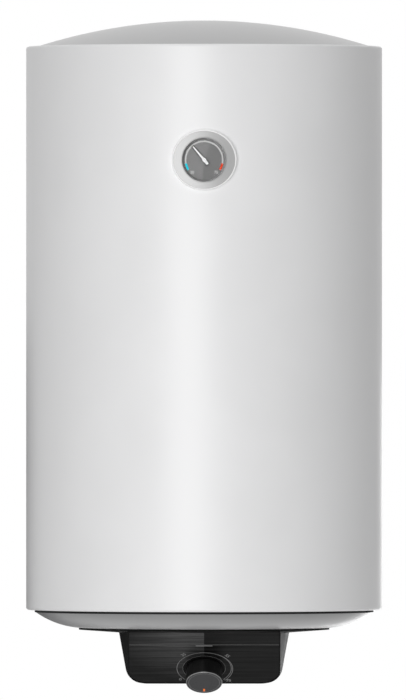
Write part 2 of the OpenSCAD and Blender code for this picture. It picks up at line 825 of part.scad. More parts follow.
module thermometer_needle() {
    hub_w = 4.9;
    hub_l = 2.6;
    tip_w = 1.4;
    waist_w = 2.4;
    tail_w = 3;
    shape = [[-tail_w / 2, -needle_tail], [tail_w / 2, -needle_tail],
             [waist_w / 2 + 0.2, -hub_l], [hub_w / 2, 0],
             [waist_w / 2, hub_l], [tip_w / 2, needle_l], [-tip_w / 2, needle_l], [-waist_w / 2, hub_l],
             [-hub_w / 2, 0], [-waist_w / 2 - 0.2, -hub_l]];
    color("white") on_gauge() translate([0, 0, needle_z]) rotate(needle_rest) difference() {
        linear_extrude(needle_t) polygon(shape);
        translate([0, 0, -eps]) cylinder(r = pivot_r, h = needle_t + 2 * eps);
    }
}

module needle_spindle() {
    foot_z = cup_t + skin_gap - cup_depth;
    color("goldenrod") on_gauge() translate([0, 0, foot_z])
        cylinder(r = pivot_r, h = needle_z + needle_t - foot_z);
}

// Flat spiral of bimetal strip, pinned to the cup's wall at its outer end
module bimetal_coil() {
    coil_t = 0.5;
    coil_h = 5;
    coil_in_r = 4;
    coil_out_r = 16;
    turns = 4;
    steps = 20;
    coil_z = dial_z - dial_t - coil_h - 2;
    function spiral(side) = [for (i = [0 : turns * steps]) let (
        a = i * 360 / steps,
        r = coil_in_r + (coil_out_r - coil_in_r) * i / (turns * steps) + side * coil_t / 2)
        r * [cos(a), sin(a)]];
    out = spiral(1);
    back = spiral(-1);
    color("peru") on_gauge() translate([0, 0, coil_z]) {
        linear_extrude(coil_h) polygon(concat(out, [for (i = [len(back) - 1 : -1 : 0]) back[i]]));
        translate([coil_out_r, -coil_t / 2, 0]) cube([window_r - skin_gap - coil_out_r, coil_t, coil_h]);
    }
}

// ---------- control cover ----------

cover_top_z = -pan_depth;
cover_foot_z = -cover_depth;
slice = 1;                                 // thickness of the outlines that the housing is drawn through
rear_lean = atan2(rear_y - foot_y, cover_depth - pan_depth - slice);
rear_mid_y = (rear_y + foot_y) / 2;
rear_mid_z = -(cover_depth + pan_depth + slice) / 2;
screw_r = 2;
screw_l = 12;
screw_head_r = 3.8;
screw_head_h = 2;
screw_circle_r = 134;
screw_seat = 1.7;                          // thickness of the flange left above a screw's head

module at_cover_screws() {
    for (turn = [-27, 20, 160, 207]) rotate(turn) translate([screw_circle_r, 0, -pan_depth]) children();
}

// The housing's solid form, shrunk on every side by the inset and opened upwards by the rise
module housing_form(inset, rise) {
    top_corner_r = 4;
    front_y = knob_y + (face_up - top_corner_r) * sin(face_tilt);
    hull() {
        on_face(-face_down + face_corner_r) at_both(face_w / 2 - face_corner_r)
            translate([0, 0, -inset - slice]) cylinder(r = face_corner_r - inset, h = slice, $fn = hull_fn);
        on_face(face_up - top_corner_r) at_both(face_w / 2 - top_corner_r) translate([0, 0, -inset - slice])
            cylinder(r = top_corner_r - inset, h = slice, $fn = hull_fn);
        at_both(rear_w / 2 - rear_corner_r) translate([0, rear_y - rear_corner_r, cover_top_z - slice])
            cylinder(r = rear_corner_r - inset, h = slice + rise, $fn = hull_fn);
        at_both(face_w / 2 - top_corner_r) translate([0, -front_y, cover_top_z - slice])
            cylinder(r = top_corner_r - inset, h = slice + rise, $fn = hull_fn);
        at_both(foot_w / 2 - foot_corner_r) translate([0, foot_y - inset, cover_foot_z + foot_corner_r])
            rotate([90, 0, 0]) cylinder(r = foot_corner_r - inset, h = slice, $fn = hull_fn);
    }
}

// A flat rounded outline on the sloping face, shrunk on every side by the inset
module panel_form(inset, h) {
    top_corner_r = 3;
    r = face_corner_r - inset;
    half_w = face_w / 2 - inset;
    hull() {
        translate([0, r + inset - face_down, 0]) at_both(half_w - r) cylinder(r = r, h = h, $fn = hull_fn);
        translate([0, face_up - inset - top_corner_r, 0]) at_both(half_w - top_corner_r)
            cylinder(r = top_corner_r, h = h, $fn = hull_fn);
    }
}

panel_z = -panel_sink - panel_t;           // back of the brushed plate
bush_r = 4.6;
gland_r = 8;

module control_cover() {
    root_r = rear_w / 2;
    flange_face = [[0, cover_top_z], [cover_r, cover_top_z], [cover_r, cover_top_z - cover_edge],
                   [root_r, cover_top_z - cover_root], [0, cover_top_z - cover_root]];
    color([0.1, 0.1, 0.11]) difference() {
        union() {
            difference() {
                rotate_extrude($fn = 180) polygon(flange_face);
                translate([0, cover_rear + cover_r, -2 * pan_depth])
                    block([3 * cover_r, 2 * cover_r, 2 * pan_depth]);
            }
            housing_form(0, 0);
        }
        housing_form(cover_t, eps);
        on_face() translate([0, 0, panel_z]) panel_form(panel_border - skin_gap, 2 * eps - panel_z);
        on_face() {
            translate([0, 0, -cover_t - 2 * eps]) cylinder(r = bush_r + bolt_gap, h = 4 * cover_t);
            at_both(stat_screw_x) translate([0, 0, -cover_t - 2 * eps])
                cylinder(r = screw_r + bolt_gap, h = 4 * cover_t);
            translate([0, lamp_v, -cover_t - 2 * eps])
                block([lamp_l + 2 * skin_gap, lamp_w + 2 * skin_gap, 4 * cover_t]);
        }
        on_rear() translate([-gland_x, 0, -2 * cover_t]) cylinder(r = gland_r + skin_gap, h = 4 * cover_t);
        at_cover_screws() translate([0, 0, -2 * cover_root])
            cylinder(r = screw_r + bolt_gap, h = 3 * cover_root);
        at_cover_screws() translate([0, 0, -screw_seat - 2 * cover_root])
            cylinder(r = screw_head_r + bolt_gap, h = 2 * cover_root);
    }
}

module cover_screws() {
    color("black") at_cover_screws() {
        translate([0, 0, -screw_seat]) cylinder(r = screw_r, h = screw_l);
        translate([0, 0, -screw_seat - screw_head_h]) cylinder(r = screw_head_r, h = screw_head_h);
    }
}

module control_fascia() {
    color([0.15, 0.15, 0.16]) on_face() translate([0, 0, panel_z]) difference() {
        panel_form(panel_border, panel_t);
        translate([0, 0, -eps]) cylinder(r = dish_r, h = panel_t + 2 * eps);
        translate([0, lamp_v, -eps])
            block([lamp_l + 2 * skin_gap, lamp_w + 2 * skin_gap, panel_t + 2 * eps]);
    }
}

module fascia_line() {
    line_l = face_w - 2 * panel_border;
    color("dimgray") on_face(line_v) translate([0, 0, -panel_sink]) block([line_l, line_w, print_t]);
}

// The printed scale: one arc all round, and a second that parts from it towards the hot end
module dial_scale() {
    cold_turn = 225;
    hot_turn = -45;
    split_turn = 65;
    function grown(a) = dial_scale_r + dial_scale_growth * (split_turn - a) / (split_turn - hot_turn);
    steps = 16;
    turns = [for (i = [0 : steps]) split_turn + (hot_turn - split_turn) * i / steps];
    out = [for (a = turns) (grown(a) + dial_scale_w / 2) * [cos(a), sin(a)]];
    back = [for (i = [steps : -1 : 0])
        (grown(turns[i]) - dial_scale_w / 2) * [cos(turns[i]), sin(turns[i])]];
    color("lightgray") on_face() translate([0, 0, -panel_sink]) {
        printed_arc(dial_scale_r, dial_scale_w, hot_turn, cold_turn, print_t);
        linear_extrude(print_t) polygon(concat(out, back));
        rotate(hot_turn) translate([dial_scale_r, 0, 0])
            cube([dial_scale_growth, dial_scale_w, print_t]);
    }
}

lamp_flange_t = 1;                         // rim that holds the lens behind the face
lamp_flange_w = 2;
lamp_back = cover_t + 0.5;                 // depth of the lens behind the face
lamp_r = 3;
lamp_body_l = 12;

module indicator_lens() {
    color("white", 0.6) on_face(lamp_v) translate([0, 0, -lamp_back]) {
        block([lamp_l, lamp_w, lamp_back]);
        translate([0, 0, -lamp_flange_t])
            block([lamp_l + 2 * lamp_flange_w, lamp_w + 2 * lamp_flange_w, lamp_flange_t]);
    }
}

module indicator_lamp() {
    color("orange") on_face(lamp_v) translate([0, 0, -lamp_back - lamp_flange_t - skin_gap - lamp_body_l])
        cylinder(r = lamp_r, h = lamp_body_l);
}

// ---------- knob and thermostat ----------

knob_z0 = 0.8;                             // gap between the knob's rim and the border
hub_r = 6.5;
hub_in_r = spindle_r + 0.02;
hub_cover_t = 3;                           // plastic left above the spindle's end
spindle_top = knob_h - knob_cap_t - hub_cover_t;
rim_w = 0.6;                               // width of the rim round the cap
rim_bevel = 0.3;
knob_cap_r = knob_r - rim_w - skin_gap;

module knob() {
    top = knob_h - knob_cap_t;
    outline = [[hub_in_r, knob_z0], [hub_r, knob_z0], [hub_r, top - knob_t],
               [knob_r - knob_t, top - knob_t],
               [knob_r - knob_t, knob_z0], [knob_r, knob_z0], [knob_r, knob_h - rim_bevel],
               [knob_r - rim_bevel, knob_h], [knob_r - rim_w, knob_h], [knob_r - rim_w, top], [0, top],
               [0, spindle_top + skin_gap], [hub_in_r, spindle_top + skin_gap]];
    color([0.08, 0.08, 0.08]) on_face() rotate_extrude() polygon(outline);
}

groove_w = 0.5;                            // ring groove on the cap
groove_d = 0.4;

module knob_cap() {
    color([0.3, 0.3, 0.32]) on_face() difference() {
        translate([0, 0, knob_h - knob_cap_t]) cylinder(r = knob_cap_r, h = knob_cap_t);
        translate([0, 0, knob_h - groove_d])
            tube(cap_ring_r + groove_w / 2, cap_ring_r - groove_w / 2, 2 * groove_d);
        translate([0, 0, knob_h - groove_d]) pointer_form(skin_gap, 2 * groove_d);
    }
}

module pointer_form(grow, h) {
    pointer_l = cap_ring_r - 2 * groove_w - pointer_in;
    translate([0, -pointer_in - pointer_l / 2, 0]) block([pointer_w + 2 * grow, pointer_l + 2 * grow, h]);
}

module knob_pointer() {
    color("darkorange") on_face() translate([0, 0, knob_h - groove_d]) pointer_form(0, groove_d + skin_gap);
}

stat_plate_t = 1.5;
stat_z = -cover_t - stat_plate_t;          // front of the thermostat's body
stat_back = stat_z - stat_depth - skin_gap;
stat_screw_grip = 5;                       // depth of a fixing screw in the thermostat
stat_head_r = 3.5;
stat_head_h = 1.8;
spindle_grip = stat_depth - 6;             // length of the spindle inside the thermostat

module thermostat_spindle() {
    color("silver") on_face() translate([0, 0, stat_z - spindle_grip])
        cylinder(r = spindle_r, h = spindle_top - stat_z + spindle_grip, $fn = 48);
}

module thermostat_body() {
    color("saddlebrown") on_face() difference() {
        union() {
            translate([0, 0, stat_z - stat_depth]) block([stat_w, stat_l, stat_depth]);
            translate([0, 0, stat_z]) block([stat_w, stat_l / 2, stat_plate_t]);
            translate([0, 0, stat_z]) cylinder(r = bush_r, h = -stat_z);
        }
        translate([0, 0, stat_z - spindle_grip - bolt_gap])
            cylinder(r = spindle_r + run_gap, h = 3 * stat_depth);
        at_both(stat_screw_x) translate([0, 0, stat_z - stat_screw_grip - bolt_gap])
            cylinder(r = screw_r + run_gap, h = 4 * stat_depth);
    }
}

module thermostat_screws() {
    color("silver") on_face() at_both(stat_screw_x) {
        translate([0, 0, stat_z - stat_screw_grip])
            cylinder(r = screw_r, h = panel_z - stat_z + stat_screw_grip);
        translate([0, 0, panel_z]) cylinder(r = stat_head_r, h = stat_head_h);
    }
}

// Bulb in the thermowell and the fine tube that joins it to the thermostat
module thermostat_sensor() {
    capillary_r = 0.8;
    well_gap = 5;                          // room above the bulb
    bulb_grip = 2;                         // length of the capillary inside the bulb
    bulb_z = plate_z + plate_t + well_l - bulb_l - well_gap;
    end_v = 6;
    end_x = -hairpin_r - end_v;
    route = [[-side_x, 0, bulb_z + bulb_grip], [-side_x, 0, plate_z], [-side_x, 0, plate_z - 4 * wire_rise],
             face_point(end_x, end_v, stat_back - 2 * wire_rise), face_point(end_x, end_v, stat_back)];
    color("peru") {
        translate([-side_x, 0, bulb_z]) cylinder(r = bulb_r, h = bulb_l);
        run_of_wire(route, capillary_r);
    }
}

// ---------- terminals, safety cut-out and gland ----------

button_l = 7;
button_out = 4;                            // length of the button that stands out of the cut-out

module thermal_cutout() {
    color("black") translate([0, 0, plate_z - cutout_h]) difference() {
        cylinder(r = cutout_r, h = cutout_h);
        translate([0, 0, -eps])
            cylinder(r = button_r + run_gap, h = eps + button_l - button_out + button_travel + 1);
    }
}

module reset_button() {
    color("red") translate([0, 0, plate_z - cutout_h - button_out])
        cylinder(r = button_r, h = button_l, $fn = 48);
}

block_z = -pan_depth - block_h;
block_rim = 2;                             // wall round the wiring bays
clamp_t = 6;                               // height of a clamp, and its distance from the block's edge

module terminal_block() {
    bay = [block_w - 2 * block_rim, block_l / 3 - 1.5 * block_rim, eps + block_h / 2];
    color("ivory") translate([block_x, 0, block_z]) difference() {
        block([block_w, block_l, block_h]);
        for (i = [-1 : 1]) translate([0, i * block_l / 3, -eps]) block(bay);
    }
}

module terminal_clamps() {
    clamp = [block_w - 4 * block_rim, block_l / 3 - 3 * block_rim, clamp_t];
    color("goldenrod") for (i = [-1 : 1])
        translate([block_x, i * block_l / 3, block_z + block_h / 2 - clamp_t]) block(clamp);
}

tab_end_z = plate_z - rod_tail - tab_l;
clamp_x = block_x - block_w / 2 + clamp_t;
clamp_z = block_z + block_h / 2 - clamp_t;
wire_rise = 5;                             // shortest straight run out of a terminal

// A point given in the sloping face's own directions
function face_point(x, v, w) = [
    x,
    -knob_y - v * sin(face_tilt) - w * cos(face_tilt),
    -knob_z + v * cos(face_tilt) - w * sin(face_tilt),
];

// From the clamp in one row of the terminal block to the element's tab on the same side
function supply_route(row) = [
    [clamp_x, row * block_l / 3, clamp_z],
    [clamp_x, row * block_l / 3, block_z - wire_rise],
    [hairpin_r + 4 * wire_rise, row * hairpin_y, block_z - wire_rise],
    [hairpin_r, row * hairpin_y, tab_end_z - 1.6 * wire_rise],
    [hairpin_r, row * hairpin_y, tab_end_z],
];

// From the element's other tab on a side to the thermostat
function switched_route(row, x, v) = [
    [-hairpin_r, row * hairpin_y, tab_end_z],
    [-hairpin_r, row * hairpin_y, tab_end_z - 2.4 * wire_rise],
    face_point(x, v, stat_back - 4 * wire_rise),
    face_point(x, v, stat_back - 1.6 * wire_rise),
    face_point(x, v, stat_back),
];

module mains_wires() {
    color("saddlebrown") {
        run_of_wire(supply_route(-1), wire_r);
        run_of_wire(supply_route(1), wire_r);
        run_of_wire(switched_route(-1, -hairpin_r, 0), wire_r);
        run_of_wire(switched_route(1, hairpin_r / 2, -8), wire_r);
    }
}

module earth_wire() {
    low_z = block_z - 2 * wire_rise;
    behind_y = hairpin_y + 4 * wire_rise;      // passes behind the terminals of the element
    route = [[clamp_x, 0, clamp_z], [clamp_x, 0, low_z], [0, behind_y, low_z],
             [earth_at[0], earth_at[1], plate_z - earth_head_h - 1.8 * wire_rise],
             [earth_at[0], earth_at[1], plate_z - earth_head_h]];
    color("yellowgreen") run_of_wire(route, wire_r);
}

module cord_gland() {
    inner_l = 6;
    collar_w = 3;
    color("black") on_rear() translate([-gland_x, 0, 0]) difference() {
        union() {
            translate([0, 0, -cover_t - inner_l]) cylinder(r = gland_r, h = cover_t + inner_l + gland_l);
            translate([0, 0, skin_gap]) cylinder(r = gland_r + collar_w, h = collar_w);
        }
        translate([0, 0, -cover_t - inner_l - eps])
            cylinder(r = gland_bore_r, h = 3 * gland_l + 3 * inner_l);
    }
}

// ---------- nodes ----------

placed() outer_jacket();
placed() top_cap();
placed() bottom_cap();
placed() foam_insulation();
placed() tank_shell();
placed() tank_top_head();
placed() tank_bottom_head();
placed() tank_flange_ring();
placed() flange_studs();
placed() flange_nuts();
placed() flange_gasket();
placed() element_flange();
placed() heating_element();
placed() terminal_insulators();
placed() terminal_tabs();
placed() thermowell();
placed() anode_rod();
placed() anode_stud();
placed() cold_inlet_nipple();
placed() hot_outlet_nipple();
placed() cold_diffuser();
placed() hot_dip_tube();
placed() cold_ring();
placed() hot_ring();
placed() wall_bracket();
placed() bracket_legs();
placed() wall_spacer();
placed() thermometer_bezel();
placed() thermometer_cup();
placed() thermometer_stem();
placed() thermometer_dial();
placed() thermometer_scale();
placed() cold_mark();
placed() hot_mark();
placed() thermometer_lens();
placed() thermometer_needle();
placed() needle_spindle();
placed() bimetal_coil();
placed() control_cover();
placed() cover_screws();
placed() control_fascia();
placed() fascia_line();
placed() dial_scale();
placed() indicator_lens();
placed() indicator_lamp();
placed() knob();
placed() knob_cap();
placed() knob_pointer();
placed() thermostat_spindle();
placed() thermostat_body();
placed() thermostat_screws();
placed() thermostat_sensor();
placed() thermal_cutout();
placed() reset_button();
placed() terminal_block();
placed() terminal_clamps();
placed() mains_wires();
placed() earth_wire();
placed() earth_screw();
placed() cord_gland();
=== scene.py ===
# %% [markdown]
# # A wall-hung water heater
# The CAD model gives every piece its place and its size. This lesson keeps the CAD pieces whose
# shape is already right, gives each of them a finish, and models the visible skin again with soft
# edges: the jacket, the two caps, the control cover, the knob, the thermometer and the pipe ends.

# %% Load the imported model
import json
import math

import bmesh
import bpy
from mathutils import Matrix, Vector


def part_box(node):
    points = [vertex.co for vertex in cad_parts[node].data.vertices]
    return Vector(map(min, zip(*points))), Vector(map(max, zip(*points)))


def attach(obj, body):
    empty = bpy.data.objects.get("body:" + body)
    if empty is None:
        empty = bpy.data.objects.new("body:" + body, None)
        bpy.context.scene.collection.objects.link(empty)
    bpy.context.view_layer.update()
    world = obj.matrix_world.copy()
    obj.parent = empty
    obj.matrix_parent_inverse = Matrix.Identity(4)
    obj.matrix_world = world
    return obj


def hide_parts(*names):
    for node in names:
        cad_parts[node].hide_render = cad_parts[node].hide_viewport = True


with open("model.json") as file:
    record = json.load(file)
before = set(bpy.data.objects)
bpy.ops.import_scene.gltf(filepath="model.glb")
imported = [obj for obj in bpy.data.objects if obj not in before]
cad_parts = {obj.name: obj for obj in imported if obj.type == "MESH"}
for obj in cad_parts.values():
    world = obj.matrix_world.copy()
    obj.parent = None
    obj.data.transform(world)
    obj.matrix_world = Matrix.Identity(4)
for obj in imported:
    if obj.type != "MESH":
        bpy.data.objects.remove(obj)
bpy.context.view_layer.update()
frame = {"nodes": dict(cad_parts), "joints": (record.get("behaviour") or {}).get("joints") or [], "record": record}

nodes = frame["nodes"]

# %% [markdown]
# ## Three drawing boards
# Round things are easiest to draw about their own axis, in millimetres. So there are three places
# to draw at: the tank's axis at the jacket's lower rim, the thermometer's middle with local Z
# looking out of the jacket, and the knob's middle with local Z leaving the sloping face. Each one
# is a matrix that moves the finished mesh into the model's frame, and all three come from the CAD
# model itself.

# %% The tank's axis, the thermometer and the knob
MM = 0.001
millimetres = Matrix.Scale(MM, 4)
quarter_turn = math.radians(90)
joints = {joint["name"]: joint for joint in frame["joints"]}
knob_place = joints["knob_turn"]["pos_m"]
gauge_place = joints["needle_turn"]["pos_m"]
jacket_low, jacket_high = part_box("outer_jacket")
jacket_r = (jacket_high.x - jacket_low.x) / 2 / MM
jacket_h = (jacket_high.z - jacket_low.z) / MM
axis_y = (jacket_high.y + jacket_low.y) / 2

knob_axis = Vector(joints["knob_turn"]["axis"])
face_tilt = math.atan2(knob_axis.z, knob_axis.y)
tank_board = Matrix.Translation((0, axis_y, jacket_low.z)) @ millimetres
gauge_board = (Matrix.Translation(gauge_place)
               @ Matrix.Rotation(quarter_turn, 4, "X") @ millimetres)
knob_board = (Matrix.Translation(knob_place)
              @ Matrix.Rotation(quarter_turn + face_tilt, 4, "X") @ millimetres)
print("jacket radius", round(jacket_r, 2), "height", round(jacket_h, 2),
      "slope", round(math.degrees(face_tilt), 2))

# %% [markdown]
# ## Camera
# The heater is seen straight from the front, and its rims stay almost straight lines, as from far
# away. An orthographic camera would do that too, but a long lens also frames the other views by
# itself: it only has to step back until the whole heater fits. The lens is as long as those views
# allow. The camera stands level with the middle of the picture, a little left of the tank's axis.


# %% The long lens in front of the heater
def linked(name, data):
    """Makes an object from its data and puts it in the scene."""
    thing = bpy.data.objects.new(name, data)
    bpy.context.scene.collection.objects.link(thing)
    return thing


VIEW_HEIGHT = 0.8852
VIEW_Z = -0.2316
VIEW_X = -0.0014
LENS = 940
SENSOR = 36
camera_distance = VIEW_HEIGHT * LENS / SENSOR
camera = linked("camera", bpy.data.cameras.new("camera"))
camera.data.lens = LENS
camera.data.sensor_width = SENSOR
camera.data.clip_start = 1.0
camera.data.clip_end = 2 * camera_distance
camera.location = (VIEW_X, axis_y - camera_distance, VIEW_Z)
camera.rotation_euler = (quarter_turn, 0, 0)
bpy.context.scene.camera = camera
bpy.context.scene.view_settings.view_transform = "Standard"
print("camera stands", round(camera_distance, 2), "m in front of the axis")

# %% [markdown]
# ## Light
# A white jacket shows its roundness by how it falls off to grey at both sides, so the world gives
# only the even grey that is left in the shade. The surroundings are white where the camera, a
# reflection or a glass looks at them, which lights up the very edge of the jacket, as a white
# studio does.


# %% White surroundings with a dimmer ambient light
def math_node(net, operation, first, second=None):
    node = net.nodes.new("ShaderNodeMath")
    node.operation = operation
    for socket, value in zip(node.inputs, (first, second)):
        if isinstance(value, (int, float)):
            socket.default_value = value
        elif value is not None:
            net.links.new(value, socket)
    return node.outputs[0]


AMBIENT = 0.30
world = bpy.data.worlds.new("studio")
bpy.context.scene.world = world
world.use_nodes = True
net = world.node_tree
background = net.nodes["Background"]
background.inputs["Color"].default_value = (1, 1, 1, 1)
path = net.nodes.new("ShaderNodeLightPath").outputs
seen = math_node(net, "MAXIMUM", path["Is Camera Ray"], path["Is Glossy Ray"])
seen = math_node(net, "MAXIMUM", seen, path["Is Transmission Ray"])
level = net.nodes.new("ShaderNodeMapRange")
level.inputs["To Min"].default_value = AMBIENT
net.links.new(seen, level.inputs["Value"])
net.links.new(level.outputs["Result"], background.inputs["Strength"])
print("ambient light", AMBIENT)

# %% [markdown]
# The lamps are soft boxes: rectangles of light, whose shadows have soft edges. A tall one stands
# in front and slightly to the left, one hangs above, a weak one brightens the underside, and a
# small one behind on the right lights that side of the bottom pan. The camera doesn't see the
# lamps themselves.


# %% Soft boxes
def soft_box(name, place, target, width, height, watts):
    light = bpy.data.lights.new(name, "AREA")
    light.shape = "RECTANGLE"
    light.size = width
    light.size_y = height
    light.energy = watts
    lamp = linked(name, light)
    lamp.visible_camera = False
    lamp.location = place
    lamp.rotation_euler = (Vector(target) - Vector(place)).to_track_quat("-Z", "Y").to_euler()
    print(name, "at", tuple(place), watts, "W")


middle = (0, axis_y, -0.2)
under_cover = (0, -0.35, -0.6)
pan_side = (0.1, axis_y, -0.62)
soft_box("front_box", (-0.45, -2.9, -0.2), middle, width=1.1, height=2.6, watts=42)
soft_box("top_box", (0.0, -0.3, 2.4), middle, width=2.0, height=2.0, watts=20)
soft_box("under_box", (0.0, -0.45, -1.25), under_cover, width=1.3, height=0.9, watts=1.6)
soft_box("right_strip", (0.62, 2.2, -0.75), pan_side, width=0.7, height=0.9, watts=5)

# %% [markdown]
# A photographer darkens one side of a glossy object with a black card beside it. The card stands
# behind and to the left, and only reflections see it, so it leaves the floor, the shadow and the
# background.


# %% Black card for the left-hand reflections
def mesh_of(bm, name):
    mesh = bpy.data.meshes.new(name)
    bm.to_mesh(mesh)
    bm.free()
    return mesh


def plain_paint(name, level, roughness):
    """Makes a matt grey for the things that stand round the heater."""
    paint = bpy.data.materials.new(name)
    paint.use_nodes = True
    shader = paint.node_tree.nodes["Principled BSDF"]
    shader.inputs["Base Color"].default_value = (level, level, level, 1)
    shader.inputs["Roughness"].default_value = roughness
    return paint


CARD_SIDE = 1.24
card_place = Vector((-0.78, 1.5, -0.85))
card_target = Vector((0, axis_y, -0.7))
bm = bmesh.new()
bmesh.ops.create_grid(bm, x_segments=1, y_segments=1, size=CARD_SIDE / 2)
card_mesh = mesh_of(bm, "black_card")
facing = (card_target - card_place).to_track_quat("Z", "Y").to_matrix().to_4x4()
card_mesh.transform(Matrix.Translation(card_place) @ facing)
card_mesh.materials.append(plain_paint("card_paint", level=0, roughness=1.0))
card = linked("black_card", card_mesh)
card.visible_camera = False
card.visible_diffuse = False
card.visible_shadow = False
card.visible_transmission = False
print("black card", [round(side, 2) for side in card.dimensions])

# %% [markdown]
# ## Floor
# The floor lies well below the heater, so the front view stays plain white. It is a disc that
# fades away towards its edge, which leaves only the soft shadow under the heater.

# %% A disc that fades out
FLOOR_DROP = 0.75
FLOOR_R = 3.0
bm = bmesh.new()
bmesh.ops.create_circle(bm, cap_ends=True, segments=96, radius=FLOOR_R)
floor_mesh = mesh_of(bm, "floor")
floor_mesh.transform(Matrix.Translation((0, axis_y, jacket_low.z - FLOOR_DROP)))
floor_paint = plain_paint("floor_paint", level=0.9, roughness=0.9)
net = floor_paint.node_tree
coords = net.nodes.new("ShaderNodeTexCoord")
centre = net.nodes.new("ShaderNodeMapping")
centre.inputs["Location"].default_value = (0, -axis_y / FLOOR_R, 0)
centre.inputs["Scale"].default_value = (1 / FLOOR_R, 1 / FLOOR_R, 0)
falloff = net.nodes.new("ShaderNodeTexGradient")
falloff.gradient_type = "SPHERICAL"
net.links.new(coords.outputs["Object"], centre.inputs["Vector"])
net.links.new(centre.outputs["Vector"], falloff.inputs["Vector"])
net.links.new(falloff.outputs["Fac"], net.nodes["Principled BSDF"].inputs["Alpha"])
floor_mesh.materials.append(floor_paint)
linked("floor", floor_mesh)
print("floor", FLOOR_DROP, "m below the jacket's lower rim")

# %% [markdown]
# ## Surface effects
# Several finishes share an effect: the fine skin of baked paint, brushed lines, the pebbled grain
# of moulded plastic, the flakes of zinc, turning marks round an axis and the cells of foam. Each
# effect is one node group that puts out a mask and a height. The material that uses it decides
# what the mask does to its own colour and roughness.


# %% Helpers for node groups
def start_group(name, inputs):
    """Opens a group and gives its inputs, its outputs and the place on the object."""
    group = bpy.data.node_groups.new(name, "ShaderNodeTree")
    for socket, value in inputs.items():
        kind = "NodeSocketVector" if isinstance(value, tuple) else "NodeSocketFloat"
        made = group.interface.new_socket(socket, in_out="INPUT", socket_type=kind)
        made.default_value = value
    for socket in ("Mask", "Height"):
        group.interface.new_socket(socket, in_out="OUTPUT", socket_type="NodeSocketFloat")
    given = group.nodes.new("NodeGroupInput").outputs
    out = group.nodes.new("NodeGroupOutput").inputs
    where = group.nodes.new("ShaderNodeTexCoord").outputs["Object"]
    return group, given, out, where


def mapped(net, vector, scale):
    """Scales a pattern's coordinates, so that it comes out finer or stretched."""
    node = net.nodes.new("ShaderNodeMapping")
    if isinstance(scale, tuple):
        node.inputs["Scale"].default_value = scale
    else:
        net.links.new(scale, node.inputs["Scale"])
    net.links.new(vector, node.inputs["Vector"])
    return node.outputs["Vector"]


def noise(net, vector, scale, detail=2.0, roughness=0.5):
    node = net.nodes.new("ShaderNodeTexNoise")
    node.inputs["Detail"].default_value = detail
    node.inputs["Roughness"].default_value = roughness
    if isinstance(scale, (int, float)):
        node.inputs["Scale"].default_value = scale
    else:
        net.links.new(scale, node.inputs["Scale"])
    net.links.new(vector, node.inputs["Vector"])
    return node.outputs["Fac"]


def contrast(net, value, low, high):
    """Stretches the values between low and high to 0 and 1, with soft ends."""
    node = net.nodes.new("ShaderNodeMapRange")
    node.interpolation_type = "SMOOTHSTEP"
    node.inputs["From Min"].default_value = low
    node.inputs["From Max"].default_value = high
    net.links.new(value, node.inputs["Value"])
    return node.outputs["Result"]


# %% Baked paint: a fine orange skin and broad soft clouds
paint_skin, given, out, where = start_group("paint_skin", {"Grain": 900.0, "Clouds": 9.0})
clouds = contrast(paint_skin, noise(paint_skin, where, given["Clouds"]), 0.3, 0.7)
paint_skin.links.new(clouds, out["Mask"])
paint_skin.links.new(noise(paint_skin, where, given["Grain"], 1.0), out["Height"])

# %% Brushed metal: noise that is stretched along the brushing
brushed_lines, given, out, where = start_group("brushed_lines", {"Stretch": (8, 900, 900),
                                                                 "Bands": (2, 90, 90)})
fine = noise(brushed_lines, mapped(brushed_lines, where, given["Stretch"]), 1.0, 3.0, 0.7)
broad = noise(brushed_lines, mapped(brushed_lines, where, given["Bands"]), 1.0, 3.0, 0.6)
both = math_node(brushed_lines, "MULTIPLY", math_node(brushed_lines, "ADD", fine, broad), 0.5)
brushed_lines.links.new(contrast(brushed_lines, both, 0.36, 0.64), out["Mask"])
brushed_lines.links.new(fine, out["Height"])


# %% Turned metal: rings of noise about an axis through a given point
def vector_node(net, operation, first, second=None):
    node = net.nodes.new("ShaderNodeVectorMath")
    node.operation = operation
    net.links.new(first, node.inputs[0])
    if second is not None:
        net.links.new(second, node.inputs[1])
    return node.outputs


turned_rings, given, out, where = start_group("turned_rings", {"Centre": (0, 0, 0),
                                                               "Rings": 1400.0})
from_centre = vector_node(turned_rings, "DISTANCE", where, given["Centre"])["Value"]
ring_at = turned_rings.nodes.new("ShaderNodeCombineXYZ")
turned_rings.links.new(from_centre, ring_at.inputs[0])
rings = noise(turned_rings, ring_at.outputs[0], given["Rings"], 3.0, 0.6)
turned_rings.links.new(contrast(turned_rings, rings, 0.3, 0.7), out["Mask"])
turned_rings.links.new(rings, out["Height"])


# %% Moulded plastic: small pebbles with cloudy gloss
def cell_pattern(net, vector, scale, feature="F1"):
    node = net.nodes.new("ShaderNodeTexVoronoi")
    node.feature = feature
    net.links.new(vector, node.inputs["Vector"])
    net.links.new(scale, node.inputs["Scale"])
    return node.outputs


moulded_pebbles, given, out, where = start_group("moulded_pebbles", {"Pebbles": 1100.0,
                                                                     "Clouds": 25.0})
pebbles = cell_pattern(moulded_pebbles, where, given["Pebbles"], "SMOOTH_F1")
clouds = contrast(moulded_pebbles, noise(moulded_pebbles, where, given["Clouds"]), 0.3, 0.7)
moulded_pebbles.links.new(clouds, out["Mask"])
moulded_pebbles.links.new(pebbles["Distance"], out["Height"])

# %% Zinc and enamel: flat flakes, each with a tone of its own
metal_flakes, given, out, where = start_group("metal_flakes", {"Flakes": 320.0})
flakes = cell_pattern(metal_flakes, where, given["Flakes"])
split = metal_flakes.nodes.new("ShaderNodeSeparateColor")
metal_flakes.links.new(flakes["Color"], split.inputs[0])
metal_flakes.links.new(split.outputs[0], out["Mask"])
scratches = noise(metal_flakes, mapped(metal_flakes, where, (200, 200, 2400)), 1.0)
metal_flakes.links.new(scratches, out["Height"])

